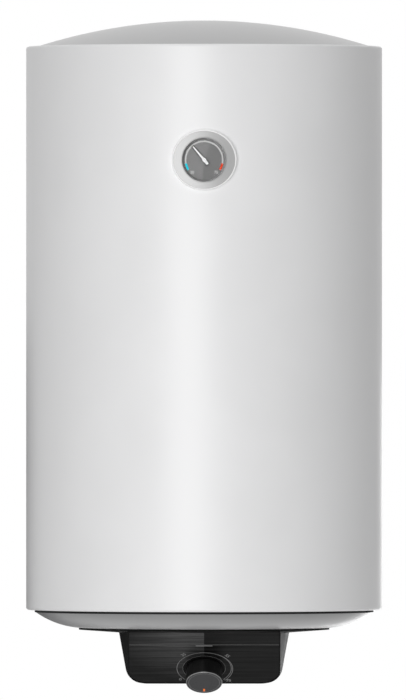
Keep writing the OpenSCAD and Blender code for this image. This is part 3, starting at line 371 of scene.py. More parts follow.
# %% Foam and cast metal: open cells of uneven size
open_cells, given, out, where = start_group("open_cells", {"Cells": 500.0})
cells = cell_pattern(open_cells, where, given["Cells"])
patches = contrast(open_cells, noise(open_cells, where, 40.0, 4.0), 0.3, 0.7)
open_cells.links.new(patches, out["Mask"])
open_cells.links.new(cells["Distance"], out["Height"])

# %% [markdown]
# ### Painted light across a surface
# The dial has a painted sheen in one sector, the panel's brushed sheet has a painted reflection
# over its left half, and the pan has a painted shade below the seam. The tone of each depends on
# a place and not on a pattern, so these three groups measure an angle, a distance or a height on
# the object and turn it into a mask.


# %% Painted sheen on the dial: a lighter sector of a round plate
def axes_of(net, vector):
    node = net.nodes.new("ShaderNodeSeparateXYZ")
    net.links.new(vector, node.inputs[0])
    return node.outputs


painted_dial_sheen, given, out, where = start_group("painted_dial_sheen", {"Centre": (0, 0, 0),
                                                             "Start": 68.0, "End": 266.0})
axes = axes_of(painted_dial_sheen, vector_node(painted_dial_sheen, "SUBTRACT", where, given["Centre"])["Vector"])
turn = math_node(painted_dial_sheen, "ARCTAN2", axes["Z"], axes["X"])
turn = math_node(painted_dial_sheen, "MULTIPLY", turn, 180 / math.pi)
turn = math_node(painted_dial_sheen, "FLOORED_MODULO", turn, 360.0)
past_start = math_node(painted_dial_sheen, "GREATER_THAN", turn, given["Start"])
before_end = math_node(painted_dial_sheen, "LESS_THAN", turn, given["End"])
inside = math_node(painted_dial_sheen, "MULTIPLY", past_start, before_end)
painted_dial_sheen.links.new(inside, out["Mask"])

# %% Painted reflection on the panel: it fades away from a point and ends at the middle line
PANEL_GRAIN = (9, 500, 500)
painted_panel_reflection, given, out, where = start_group("painted_panel_reflection", {"Centre": (0, 0, 0), "Reach": 0.1})
offset = vector_node(painted_panel_reflection, "SUBTRACT", where, given["Centre"])["Vector"]
far = vector_node(painted_panel_reflection, "LENGTH", offset)["Value"]
near = math_node(painted_panel_reflection, "SUBTRACT", 1.0, math_node(painted_panel_reflection, "DIVIDE", far, given["Reach"]))
left = math_node(painted_panel_reflection, "LESS_THAN", axes_of(painted_panel_reflection, offset)["X"], 0.0)
glow = math_node(painted_panel_reflection, "MULTIPLY", math_node(painted_panel_reflection, "MAXIMUM", near, 0.0), left)
lines = noise(painted_panel_reflection, mapped(painted_panel_reflection, where, PANEL_GRAIN), 1.0, 3.0, 0.7)
streaks = math_node(painted_panel_reflection, "ADD", contrast(painted_panel_reflection, lines, 0.36, 0.64), 0.5)
painted_panel_reflection.links.new(math_node(painted_panel_reflection, "MULTIPLY", glow, streaks), out["Mask"])

# %% Painted shade below a seam, where the rim above shades the surface
painted_seam_shade, given, out, where = start_group("painted_seam_shade", {"Seam": 0.0, "Reach": 0.02})
below = math_node(painted_seam_shade, "SUBTRACT", given["Seam"], axes_of(painted_seam_shade, where)["Z"])
share = math_node(painted_seam_shade, "DIVIDE", below, given["Reach"])
shadow = math_node(painted_seam_shade, "SUBTRACT", 1.0, share)
painted_seam_shade.links.new(math_node(painted_seam_shade, "MAXIMUM", shadow, 0.0), out["Mask"])
print("effects:", ", ".join(group.name for group in bpy.data.node_groups))

# %% [markdown]
# ## Finishes
# A finish is a Principled shader whose colour and roughness swing a little between two values,
# where the effect's mask says so, with the effect's height as a shallow bump. The values that are
# the same all over are set on the shader itself.

# %% One helper for every finish
finishes = {}


def add_finish(name, colour, other, effect, roughness, bump=0.1, depth=0.05, values=(),
               **shader_values):
    """Makes a finish and keeps it under its name, its bump's depth in millimetres."""
    material = bpy.data.materials.new(name)
    material.use_nodes = True
    net = material.node_tree
    shader = net.nodes["Principled BSDF"]
    group = net.nodes.new("ShaderNodeGroup")
    group.node_tree = effect
    for socket, value in dict(values).items():
        group.inputs[socket].default_value = value
    tone = net.nodes.new("ShaderNodeMix")
    tone.data_type = "RGBA"
    tone.inputs["A"].default_value = (*colour, 1)
    tone.inputs["B"].default_value = (*other, 1)
    net.links.new(group.outputs["Mask"], tone.inputs["Factor"])
    net.links.new(tone.outputs["Result"], shader.inputs["Base Color"])
    gloss = net.nodes.new("ShaderNodeMapRange")
    gloss.inputs["To Min"].default_value = roughness[0]
    gloss.inputs["To Max"].default_value = roughness[1]
    net.links.new(group.outputs["Mask"], gloss.inputs["Value"])
    net.links.new(gloss.outputs["Result"], shader.inputs["Roughness"])
    relief = net.nodes.new("ShaderNodeBump")
    relief.inputs["Strength"].default_value = bump
    relief.inputs["Distance"].default_value = depth * MM
    net.links.new(group.outputs["Height"], relief.inputs["Height"])
    net.links.new(relief.outputs["Normal"], shader.inputs["Normal"])
    for socket, value in shader_values.items():
        shader.inputs[socket.replace("_", " ")].default_value = value
    finishes[name] = material


def grey(level, blue=0.0):
    return (level, level, level + blue)


# %% [markdown]
# ### Painted sheet, plastic and rubber
# The jacket is sheet steel with a baked satin paint. The dome and the pan carry the same paint in
# a light grey. Paint of this kind is never a mirror, yet it shows a wide, soft reflection of the
# studio.

# %% White and grey paint, black plastic and rubber
add_finish("jacket_white", grey(0.79, 0.005), grey(0.81, 0.005), paint_skin, (0.36, 0.40), 0.05,
           0.03, Specular_IOR_Level=0.6)
add_finish("cap_grey", grey(0.42, 0.003), grey(0.425, 0.003), paint_skin, (0.29, 0.30), 0.06, 0.03,
           Specular_IOR_Level=0.5)
# the pan's own copy of the paint; a painted shade below the jacket's rim is laid over it further down
add_finish("pan_grey_painted_shade", grey(0.47, 0.003), grey(0.475, 0.003), paint_skin, (0.29, 0.30), 0.06, 0.03,
           Specular_IOR_Level=0.5)
add_finish("cover_black", grey(0.005), grey(0.008), moulded_pebbles, (0.5, 0.6), 0.25, 0.05,
           Specular_IOR_Level=0.04)
add_finish("knob_black", grey(0.006), grey(0.009), moulded_pebbles, (0.28, 0.36), 0.08, 0.03,
           Specular_IOR_Level=0.3)
add_finish("knob_grey", grey(0.028, 0.002), grey(0.041, 0.002), turned_rings, (0.42, 0.54), 0.1,
           0.02, {"Centre": knob_place}, Metallic=0.3)
add_finish("moulded_dark", grey(0.045), grey(0.06), moulded_pebbles, (0.5, 0.62), 0.2, 0.05,
           Specular_IOR_Level=0.3)
add_finish("gasket_rubber", grey(0.012), grey(0.02), moulded_pebbles, (0.7, 0.85), 0.3, 0.08,
           Specular_IOR_Level=0.2)
add_finish("spacer_rubber", grey(0.045), grey(0.07), moulded_pebbles, (0.65, 0.8), 0.3, 0.08,
           Specular_IOR_Level=0.25)
add_finish("inner_plastic", grey(0.78), grey(0.83), moulded_pebbles, (0.45, 0.55), 0.1)
add_finish("blue_plastic", (0.02, 0.14, 0.58), (0.03, 0.18, 0.66), moulded_pebbles, (0.32, 0.42),
           0.1)
add_finish("red_plastic", (0.58, 0.02, 0.025), (0.66, 0.035, 0.03), moulded_pebbles, (0.32, 0.42),
           0.1)
add_finish("button_red", (0.55, 0.02, 0.02), (0.62, 0.03, 0.03), moulded_pebbles, (0.2, 0.3), 0.05)
add_finish("block_ivory", (0.76, 0.72, 0.6), (0.82, 0.78, 0.66), moulded_pebbles, (0.5, 0.6), 0.15)
add_finish("wire_brown", (0.15, 0.06, 0.025), (0.2, 0.08, 0.035), moulded_pebbles, (0.4, 0.5), 0.1)
add_finish("wire_green_yellow", (0.08, 0.36, 0.04), (0.85, 0.75, 0.05), metal_flakes, (0.4, 0.5),
           0.05, values={"Flakes": 90.0})

# %% [markdown]
# ### Metals, enamel and foam
# Every metal part has its own working marks: brushed lines on sheet, flakes on zinc plating,
# turning marks on the bezel, and a rough cast skin on the anode.

# %% Steel, zinc, brass, copper and magnesium
add_finish("bare_steel", grey(0.5), grey(0.62), brushed_lines, (0.3, 0.45), 0.1, Metallic=1.0)
add_finish("zinc_steel", (0.56, 0.56, 0.54), (0.7, 0.7, 0.68), metal_flakes, (0.3, 0.46), 0.15,
           Metallic=1.0)
add_finish("bracket_paint", (0.27, 0.28, 0.29), (0.31, 0.32, 0.33), paint_skin, (0.42, 0.52), 0.15,
           0.06, {"Grain": 600.0})
add_finish("copper_sheath", (0.62, 0.33, 0.2), (0.74, 0.45, 0.28), brushed_lines, (0.28, 0.42), 0.1,
           Metallic=1.0)
add_finish("brass_parts", (0.68, 0.5, 0.22), (0.78, 0.6, 0.3), brushed_lines, (0.2, 0.34), 0.1,
           Metallic=1.0)
add_finish("magnesium", (0.42, 0.43, 0.44), (0.55, 0.56, 0.57), open_cells, (0.5, 0.7), 0.4, 0.2,
           Metallic=1.0)
add_finish("bezel_silver", grey(0.29), grey(0.34), turned_rings, (0.30, 0.38), 0.1, 0.02,
           {"Centre": gauge_place}, Metallic=0.35)
# painted highlight: a near-white finish on the bezel's outer edge stands for the light caught by its chamfer
add_finish("edge_painted_highlight", grey(0.88), grey(0.92), paint_skin, (0.3, 0.36), 0.03, 0.02,
           Metallic=0.3)
add_finish("panel_brushed", grey(0.004), grey(0.020), brushed_lines, (0.35, 0.5), 0.2, 0.03,
           {"Stretch": PANEL_GRAIN, "Bands": (3, 150, 150)}, Metallic=1.0)
# dark grey, partly the ring's own colour and partly painted shade of the gap round the dial
add_finish("surround_grey_and_shade", grey(0.075), grey(0.10), turned_rings, (0.3, 0.4), 0.1, 0.02,
           {"Centre": gauge_place}, Metallic=0.5)
add_finish("tank_enamel", (0.08, 0.16, 0.3), (0.12, 0.22, 0.38), paint_skin, (0.2, 0.32), 0.15, 0.1)
add_finish("ceramic_white", (0.84, 0.82, 0.76), (0.9, 0.88, 0.82), open_cells, (0.3, 0.45), 0.08,
           values={"Cells": 900.0})
add_finish("insulation", (0.82, 0.72, 0.42), (0.88, 0.8, 0.54), open_cells, (0.85, 0.95), 0.6, 0.6,
           {"Cells": 350.0})

# %% [markdown]
# ### Dial, print and glass
# The dial's plate is grey plastic, printed with a pale scale and two coloured marks. Printing ink
# is a touch glossier than the plate below it. The window is nearly clear, so that the dial shows,
# and keeps the gloss of glass.

# %% Printed colours, the needle and the lamp
add_finish("print_light", grey(0.62), grey(0.7), moulded_pebbles, (0.4, 0.5), 0.05)
add_finish("print_blue", (0.0, 0.74, 1.0), (0.0, 0.8, 1.0), moulded_pebbles, (0.5, 0.6), 0.05,
           Specular_IOR_Level=0.2)
add_finish("print_red", (1.0, 0.05, 0.0), (1.0, 0.08, 0.0), moulded_pebbles, (0.5, 0.6), 0.05,
           Specular_IOR_Level=0.2)
add_finish("panel_print", grey(0.17), grey(0.22), moulded_pebbles, (0.5, 0.6), 0.05,
           Specular_IOR_Level=0.3)
add_finish("panel_line", grey(0.10), grey(0.13), moulded_pebbles, (0.5, 0.6), 0.05,
           Specular_IOR_Level=0.3)
add_finish("needle_white", grey(0.94), grey(0.97), moulded_pebbles, (0.3, 0.4), 0.05)
add_finish("pointer_orange", (1.0, 0.17, 0.0), (1.0, 0.22, 0.0), moulded_pebbles, (0.3, 0.4), 0.05)
add_finish("dial_grey", grey(0.195), grey(0.205), moulded_pebbles, (0.55, 0.65), 0.1, 0.02,
           Specular_IOR_Level=0.3)
add_finish("lamp_lens", grey(0.14), grey(0.18), moulded_pebbles, (0.18, 0.28), 0.05,
           Specular_IOR_Level=0.4)
add_finish("lamp_glass", (0.9, 0.35, 0.1), (0.95, 0.45, 0.15), moulded_pebbles, (0.05, 0.15), 0.02,
           Transmission_Weight=0.6)
add_finish("window_clear", grey(0.02), grey(0.03), moulded_pebbles, (0.03, 0.06), 0.01, Alpha=0.03)
print("finishes:", len(finishes))

# %% [markdown]
# ### A second tone
# Three of these finishes change once more across the surface, with painted light: a sheen, a
# shade and a reflection. The helper takes the colour that a finish already has and mixes another
# one over it, where one of the groups for tones says so.


# %% Painted sheen of the dial, painted shade of the pan and painted reflection of the panel
def second_tone(material, group, colour, values):
    """Lays one more colour over a finish, where the group's mask says so."""
    net = material.node_tree
    base = net.nodes["Principled BSDF"].inputs["Base Color"]
    mask = net.nodes.new("ShaderNodeGroup")
    mask.node_tree = group
    for socket, value in values.items():
        mask.inputs[socket].default_value = value
    mix = net.nodes.new("ShaderNodeMix")
    mix.data_type = "RGBA"
    mix.inputs["B"].default_value = (*colour, 1)
    net.links.new(base.links[0].from_socket, mix.inputs["A"])
    net.links.new(mask.outputs["Mask"], mix.inputs["Factor"])
    net.links.new(mix.outputs["Result"], base)


SEAM_BELOW = 0.002
SHADE_REACH = 0.022
REFLECTION_REACH = 0.11
plate_low, plate_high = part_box("control_fascia")
plate_top = (0, plate_low.y, plate_high.z)
# painted sheen: a lighter sector of the dial stands for a reflection across the dial
second_tone(finishes["dial_grey"], painted_dial_sheen, grey(0.265), {"Centre": gauge_place})
# painted shade: the pan darkens towards the jacket's rim, which shades it
second_tone(finishes["pan_grey_painted_shade"], painted_seam_shade, grey(0.24, 0.002),
            {"Seam": jacket_low.z - SEAM_BELOW, "Reach": SHADE_REACH})
# painted reflection: the left half of the brushed plate is lighter, standing for a soft box reflected in it
second_tone(finishes["panel_brushed"], painted_panel_reflection, grey(0.085),
            {"Centre": plate_top, "Reach": REFLECTION_REACH})
print("glow from", [round(value, 4) for value in plate_top])

# %% [markdown]
# ### Dressing the CAD nodes
# The record names the finish of every CAD node as its slot, so one loop dresses them all.

# %% Dress every CAD node in its own finish
slots = {part["node"]: part["material_slot"] for part in frame["record"]["subparts"]}
for node, slot in slots.items():
    for holder in nodes[node].material_slots:
        holder.material = finishes[slot]
print("dressed", len(slots), "nodes")

# %% [markdown]
# ## Modelling helpers
# Most pieces are turned: a half section is drawn as a few points and spun round the axis. Arcs
# give the section its curves, and a bevel breaks the edges. Doubled corners are merged and the
# faces turned outwards, and the last helper marks the sharp edges and puts the piece in its place.


# %% Sections, and the spin that turns them into a body
def arc(centre, radius, start, end, steps=8):
    turns = [math.radians(start + (end - start) * i / steps) for i in range(steps + 1)]
    return [(centre[0] + radius * math.cos(turn), centre[1] + radius * math.sin(turn))
            for turn in turns]


def bar(inner, outer, low, high):
    return [(inner, low), (outer, low), (outer, high), (inner, high)]


def clean(bm):
    bmesh.ops.remove_doubles(bm, verts=bm.verts, dist=0.0005)
    bmesh.ops.recalc_face_normals(bm, faces=bm.faces)
    return bm


def spun(section, steps, closed=True):
    """Turns a half section, points of radius and height, round the upright axis."""
    bm = bmesh.new()
    corners = [bm.verts.new((max(r, 0), 0, z)) for r, z in section]
    sides = [bm.edges.new(pair) for pair in zip(corners, corners[1:])]
    if closed:
        sides.append(bm.edges.new((corners[-1], corners[0])))
    bmesh.ops.spin(bm, geom=corners + sides, cent=(0, 0, 0), axis=(0, 0, 1),
                   angle=2 * math.pi, steps=steps, use_merge=True)
    return clean(bm)


# %% Soften, extrude, move and carve
def soften(bm, width):
    edges = [edge for edge in bm.edges if edge.calc_face_angle(0) > math.radians(30)]
    bmesh.ops.bevel(bm, geom=edges, offset=width, offset_type="OFFSET", segments=2,
                    affect="EDGES", profile=0.5, material=-1, clamp_overlap=True)
    return bm


def extruded(bm, faces, way, pocket=False):
    """Pulls faces out along a vector. A pocket loses the faces that it starts from."""
    made = bmesh.ops.extrude_face_region(bm, geom=faces)["geom"]
    if pocket:
        bmesh.ops.delete(bm, geom=faces, context="FACES_ONLY")
    corners = [item for item in made if isinstance(item, bmesh.types.BMVert)]
    bmesh.ops.translate(bm, verts=corners, vec=way)
    return clean(bm)


def shifted(bm, y=0, z=0):
    bmesh.ops.translate(bm, verts=bm.verts, vec=(0, y, z))
    return bm


def drill(radius, depth, steps):
    bm = bmesh.new()
    bmesh.ops.create_cone(bm, cap_ends=True, segments=steps, radius1=radius, radius2=radius,
                          depth=depth)
    return bm


def carved(bm, cutters):
    """Takes the cutters out of a shape with exact boolean modifiers."""
    body = linked("blank", mesh_of(bm, "blank"))
    tools = [linked("cutter", mesh_of(cutter, "cutter")) for cutter in cutters]
    for tool in tools:
        cut = body.modifiers.new("cut", "BOOLEAN")
        cut.operation = "DIFFERENCE"
        cut.solver = "EXACT"
        cut.object = tool
    bpy.context.view_layer.update()
    result = bmesh.new()
    result.from_mesh(body.evaluated_get(bpy.context.evaluated_depsgraph_get()).to_mesh())
    for thing in [body] + tools:
        mesh = thing.data
        bpy.data.objects.remove(thing)
        bpy.data.meshes.remove(mesh)
    return result


# %% Finish a piece and put it in its place
def shade(bm, above):
    for face in bm.faces:
        face.smooth = True
    for edge in bm.edges:
        edge.smooth = edge.calc_face_angle(0) < math.radians(above)


def make_piece(name, bm, board, slot, body="heater", stands_for=(), sharp_above=30, finish=None):
    """Moves a finished mesh from its board to its place, hangs it on its body and hides the CAD parts that it
    stands for.
    """
    shade(bm, sharp_above)
    triangles = sum(len(face.verts) - 2 for face in bm.faces)
    mesh = mesh_of(bm, name)
    mesh.transform(board)
    mesh.materials.append(finishes[finish or slot])
    piece = linked(name, mesh)
    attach(piece, body)
    if stands_for:
        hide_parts(*stands_for)
    print(name, "has", triangles, "triangles")


# %% [markdown]
# ## Jacket
# The jacket is one sheet of steel, rolled round the tank, with a rolled edge and an inward lip at
# both rims. A subdivided cylinder would need support loops at each bend. Spinning the exact
# section of the sheet gives the curls at both rims at once. The opening for the thermometer is
# cut afterwards.

# %% Spin the sheet and cut the opening
ROUND_STEPS = 288
SHEET = 1.0
RIM_R = 3.5
LIP = 9.0
BAND = 45.0
OPENING_GAP = 0.3
cup_low, cup_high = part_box("thermometer_cup")
opening_r = (cup_high.x - cup_low.x) / 2 / MM + OPENING_GAP
gauge_z = (gauge_place[2] - jacket_low.z) / MM
below = arc((jacket_r - RIM_R, RIM_R), RIM_R, -90, 0)
above = arc((jacket_r - RIM_R, jacket_h - RIM_R), RIM_R, 0, 90)
inner_above = arc((jacket_r - RIM_R, jacket_h - RIM_R), RIM_R - SHEET, 90, 0)
inner_below = arc((jacket_r - RIM_R, RIM_R), RIM_R - SHEET, 0, -90)
band = [gauge_z - BAND, gauge_z + BAND]
section = ([(jacket_r - LIP, 0)] + below + [(jacket_r, z) for z in band] + above
           + [(jacket_r - LIP, jacket_h), (jacket_r - LIP, jacket_h - SHEET)] + inner_above
           + [(jacket_r - SHEET, z) for z in reversed(band)] + inner_below
           + [(jacket_r - LIP, SHEET)])
cutter = drill(opening_r, depth=80, steps=96)
cutter.transform(tank_board.inverted() @ gauge_board)
jacket = carved(spun(section, ROUND_STEPS), [cutter])
make_piece("jacket_shell", jacket, tank_board, "jacket_white", stands_for=("outer_jacket",))

# %% [markdown]
# ## Caps
# The top cap is a shallow dome that comes up through the upper lip. The bottom cap is a flat pan
# with a wide curve round it. Both are spun from the CAD sizes, with many more steps than the CAD
# needs. A dark ring in the groove between the jacket and the pan paints the shadow of that gap.

# %% Top dome
CAP_T = 1.5
CAP_GAP = 0.2
CROWN_R = 692.0
SKIRT = 18.0
skirt_r = jacket_r - SHEET - CAP_GAP
crown_z = (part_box("top_cap")[1].z - jacket_low.z) / MM
centre_z = crown_z - CROWN_R
edge_turn = math.degrees(math.acos(skirt_r / CROWN_R))
inner_turn = math.degrees(math.acos((skirt_r - CAP_T) / (CROWN_R - CAP_T)))
outer = arc((0, centre_z), CROWN_R, 90, edge_turn, 24)
inner = arc((0, centre_z), CROWN_R - CAP_T, inner_turn, 90, 24)
skirt_z = outer[-1][1] - SKIRT
dome = spun(outer + [(skirt_r, skirt_z), (skirt_r - CAP_T, skirt_z)] + inner, ROUND_STEPS,
            closed=False)
make_piece("dome_cap", dome, tank_board, "cap_grey", stands_for=("top_cap",))

# %% Bottom pan
PAN_CURVE = 108.0
PAN_R = 214.0
LIP_Z = 2.2
SERVICE_R = 68.0
pan_z = (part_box("bottom_cap")[0].z - jacket_low.z) / MM
flat_r = PAN_R - math.sqrt(PAN_CURVE ** 2 - (PAN_CURVE + pan_z + LIP_Z) ** 2)
pan_centre = (flat_r, PAN_CURVE + pan_z)
shell_curve = PAN_CURVE - CAP_T
outer_end = -math.degrees(math.acos((PAN_R - flat_r) / PAN_CURVE))
inner_end = -math.degrees(math.acos((PAN_R - CAP_T - flat_r) / shell_curve))
section = ([(SERVICE_R, pan_z)] + arc(pan_centre, PAN_CURVE, -90, outer_end, 20)
           + [(PAN_R, LIP_Z), (skirt_r - RIM_R, LIP_Z), (skirt_r, LIP_Z + RIM_R),
              (skirt_r, LIP_Z + SKIRT), (skirt_r - CAP_T, LIP_Z + SKIRT),
              (skirt_r - CAP_T, LIP_Z + CAP_T), (PAN_R - CAP_T, LIP_Z + CAP_T)]
           + arc(pan_centre, shell_curve, inner_end, -90, 20) + [(SERVICE_R, pan_z + CAP_T)])
make_piece("base_pan", spun(section, ROUND_STEPS), tank_board, "cap_grey",
           stands_for=("bottom_cap",), finish="pan_grey_painted_shade")

# %% Dark ring in the groove, a painted shadow
SHADOW_DROP = 2.9
SHADOW_W = 3.0
SHADOW_PROUD = 0.2
# painted shadow: a black ring in the groove under the jacket's rim stands for the shade in that gap
groove_shadow = spun(bar(PAN_R - SHADOW_W, PAN_R + SHADOW_PROUD, -SHADOW_DROP, LIP_Z), ROUND_STEPS)
make_piece("pan_groove_shadow", groove_shadow, tank_board, "gasket_rubber")

# %% [markdown]
# ### Water connections
# The two half-inch nipples end in a pipe thread. A real thread is one long helix, but seen from a
# step away its crests look like rings, so the section is a row of teeth and one spin turns them
# all.

# %% Threaded nipples
PITCH = 1.814
TEETH = 8
TOOTH = 1.16
CREST_GAP = 0.1
CREST_FROM = 0.4
CREST_TO = 0.6
PLAIN_END = 1.0
CHAMFER = 0.6
RUNOUT = 1.2
BORE_R = 8.0
thread_end = PLAIN_END + TEETH * PITCH
for node in ("cold_inlet_nipple", "hot_outlet_nipple"):
    low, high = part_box(node)
    crest_r = (high.x - low.x) / 2 / MM
    root_r = crest_r - TOOTH
    length = (high.z - low.z) / MM
    section = [(BORE_R, CHAMFER), (BORE_R + CHAMFER, 0), (root_r, 0)]
    for tooth in range(TEETH):
        start = PLAIN_END + tooth * PITCH
        section += [(root_r, start), (crest_r - CREST_GAP, start + CREST_FROM * PITCH),
                    (crest_r - CREST_GAP, start + CREST_TO * PITCH)]
    section += [(root_r, thread_end), (crest_r, thread_end + RUNOUT), (crest_r, length),
                (BORE_R, length)]
    place = Matrix.Translation(((low.x + high.x) / 2, (low.y + high.y) / 2, low.z)) @ millimetres
    make_piece(node.replace("nipple", "thread"), spun(section, 72), place, "zinc_steel",
               stands_for=(node,))

# %% [markdown]
# ## Control cover
# The black cover is a moulding: a thin round flange under the pan with a straight rear edge, and
# a housing whose front is cut off by the sloping control face. The housing is the hull of its
# rounded corners, so circles are placed at the corners and bmesh's convex hull wraps them.

# %% The housing as a hull of rounded corners
FACE_W = 192.0
FACE_UP = 80.4
FACE_DOWN = 33.4
FOOT_CORNER = 25.0
TOP_CORNER = 4.0
REAR_CORNER = 18.0
REAR_W = 218.0
FOOT_W = 199.5
FOOT_ROUND = 22.0
REAR_Y = 68.0
FOOT_Y = 62.0
upright = Matrix.Identity(4)
on_edge = Matrix.Rotation(quarter_turn, 4, "X")
cover_z = (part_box("control_cover")[0].z - jacket_low.z) / MM
on_tank = tank_board.inverted() @ knob_board
knob_at = on_tank @ Vector((0, 0, 0))
front_y = -knob_at.y + (FACE_UP - TOP_CORNER) * math.sin(face_tilt)


def corner_pair(bm, half_width, y, z, radius, board=upright, turn=upright):
    for side in (-1, 1):
        place = board @ Matrix.Translation((side * (half_width - radius), y, z)) @ turn
        bmesh.ops.create_circle(bm, segments=72, radius=radius, matrix=place)


def keep_hull(bm):
    hull = bmesh.ops.convex_hull(bm, input=bm.verts)
    unused = {item for item in hull["geom_interior"] + hull["geom_unused"]
              if isinstance(item, bmesh.types.BMVert)}
    bmesh.ops.delete(bm, geom=list(unused), context="VERTS")
    loose = [edge for edge in bm.edges if not edge.link_faces]
    bmesh.ops.delete(bm, geom=loose, context="EDGES")
    bmesh.ops.dissolve_limit(bm, angle_limit=math.radians(0.3), verts=bm.verts, edges=bm.edges)


housing = bmesh.new()
corner_pair(housing, FACE_W / 2, FOOT_CORNER - FACE_DOWN, 0, FOOT_CORNER, on_tank)
corner_pair(housing, FACE_W / 2, FACE_UP - TOP_CORNER, 0, TOP_CORNER, on_tank)
corner_pair(housing, REAR_W / 2, REAR_Y - REAR_CORNER, pan_z, REAR_CORNER)
corner_pair(housing, FACE_W / 2, -front_y, pan_z, TOP_CORNER)
corner_pair(housing, FOOT_W / 2, FOOT_Y, cover_z + FOOT_ROUND, FOOT_ROUND, turn=on_edge)
keep_hull(housing)
print("housing hull:", len(housing.faces), "faces")

# %% [markdown]
# The brushed plate lies sunk in the sloping face, so the face gets a pocket: an inset leaves the
# border, and the face inside it is extruded inwards.

# %% The pocket for the brushed plate
PLATE_T = 1.0
PLATE_SINK = 0.3
BORDER = 1.7
POCKET_GAP = 0.1
outward = (on_tank.to_3x3() @ Vector((0, 0, 1))).normalized()
sloping = max((face for face in housing.faces if face.normal.dot(outward) > 0.99),
              key=lambda face: face.calc_area())
bmesh.ops.inset_region(housing, faces=[sloping], thickness=BORDER - POCKET_GAP,
                       use_even_offset=True)
extruded(housing, [sloping], outward * -(PLATE_T + PLATE_SINK), pocket=True)
print("pocket", PLATE_T + PLATE_SINK, "mm deep")

# %% [markdown]
# The flange is spun as a full disc. A plane cuts its rear edge straight, the open cut is filled,
# and the disc joins the housing as one piece.

# %% The flange with its straight rear edge
FLANGE_R = 158.4
FLANGE_EDGE = 2.0
FLANGE_ROOT = 5.5
FLANGE_REAR = 80.0
flange = spun([(0, pan_z), (FLANGE_R, pan_z), (FLANGE_R, pan_z - FLANGE_EDGE),
               (REAR_W / 2, pan_z - FLANGE_ROOT), (0, pan_z - FLANGE_ROOT)], 192, closed=False)
half = bmesh.ops.bisect_plane(flange, geom=flange.verts[:] + flange.edges[:] + flange.faces[:],
                              plane_co=(0, FLANGE_REAR, 0), plane_no=(0, 1, 0), clear_outer=True)
cut_edges = [item for item in half["geom_cut"] if isinstance(item, bmesh.types.BMEdge)]
bmesh.ops.edgeloop_fill(flange, edges=cut_edges)
flange_mesh = mesh_of(soften(clean(flange), 0.4), "flange")
housing.from_mesh(flange_mesh)
bpy.data.meshes.remove(flange_mesh)
make_piece("cover_shell", housing, tank_board, "cover_black", stands_for=("control_cover",))

# %% [markdown]
# ## Brushed plate
# A thin black plate with a horizontal grain fills the pocket. It starts as a single square, its
# four corners are rounded by a vertex bevel, and the sheet is extruded. The round opening about
# the knob and the slot of the indicator are cut through it.


# %% Plate with rounded corners
def plate(width, low, high, corner_low, corner_high, thickness):
    bm = bmesh.new()
    bmesh.ops.create_grid(bm, x_segments=1, y_segments=1, size=0.5)
    bmesh.ops.scale(bm, verts=bm.verts, vec=(width, high - low, 1))
    shifted(bm, y=(high + low) / 2)
    for radius, ends in ((corner_low, low), (corner_high, high)):
        corners = [vert for vert in bm.verts if abs(vert.co.y - ends) < 0.001]
        bmesh.ops.bevel(bm, geom=corners, offset=radius, offset_type="OFFSET", segments=16,
                        affect="VERTICES", profile=0.5, material=-1)
    return extruded(bm, bm.faces[:], (0, 0, thickness))


DISH_R = 27.0
LAMP_V = 49.4
LAMP_L = 21.4
LAMP_W = 2.0
CUT = 10
fascia = plate(FACE_W - 2 * BORDER, BORDER - FACE_DOWN, FACE_UP - BORDER, FOOT_CORNER - BORDER,
               3.0, PLATE_T)
shifted(fascia, z=-PLATE_SINK - PLATE_T)
lamp_hole = plate(LAMP_L, -LAMP_W / 2, LAMP_W / 2, 0.3, 0.3, CUT)
shifted(lamp_hole, y=LAMP_V, z=-CUT / 2)
fascia = carved(fascia, [drill(DISH_R, CUT, 128), lamp_hole])
make_piece("brushed_plate", fascia, knob_board, "panel_brushed", stands_for=("control_fascia",))

# %% Pale edge ring about the knob's dish
DISH_EDGE = 0.3
ring = spun(bar(DISH_R - DISH_EDGE, DISH_R, -1.2, -0.25), 128)
make_piece("dish_edge", ring, knob_board, "panel_print")

# %% [markdown]
# ## Numbers
# A few plain figures stand where a dial needs them. Blender's own letters are turned into a mesh
# first, and only then moved to their place, so that the piece's object stays at the origin. A
# small offset makes the strokes bolder, because a thin stroke is lost from a step away.

# %% Figures as meshes
BOLD = 0.022


def figures(name, text, size, depth, place, board, slot):
    curve = bpy.data.curves.new(name, "FONT")
    curve.body = text
    curve.size = size
    curve.extrude = depth
    curve.offset = size * BOLD
    curve.align_x = "CENTER"
    curve.align_y = "CENTER"
    curve.resolution_u = 6
    holder = linked(name, curve)
    bpy.context.view_layer.update()
    bm = bmesh.new()
    bm.from_mesh(holder.evaluated_get(bpy.context.evaluated_depsgraph_get()).to_mesh())
    bpy.data.objects.remove(holder)
    bpy.data.curves.remove(curve)
    make_piece(name, clean(bm), board @ place, slot)


PANEL_FIGURE = 6.6
PANEL_INK = 0.06
panel_figures = [("0", 219, 38.5, 0), ("35", 131, 39.5, 41), ("55", 43, 40.0, -47),
                 ("75", -41, 41.0, 0)]
for text, turn, radius, lean in panel_figures:
    across = radius * math.cos(math.radians(turn))
    up = radius * math.sin(math.radians(turn))
    place = (Matrix.Translation((across, up, -PLATE_SINK + PANEL_INK))
             @ Matrix.Rotation(math.radians(lean), 4, "Z"))
    figures("panel_figure_" + text, text, PANEL_FIGURE, PANEL_INK, place, knob_board,
            "panel_print")

# %% [markdown]
# ## Knob
# The knob is a turned black barrel with a grey cap, a bright rim round the cap and a fine ring on
# it. Its parts are spun about the knob's axis and ride on the turning body. The orange marker is
# a small plate near the cap's edge.

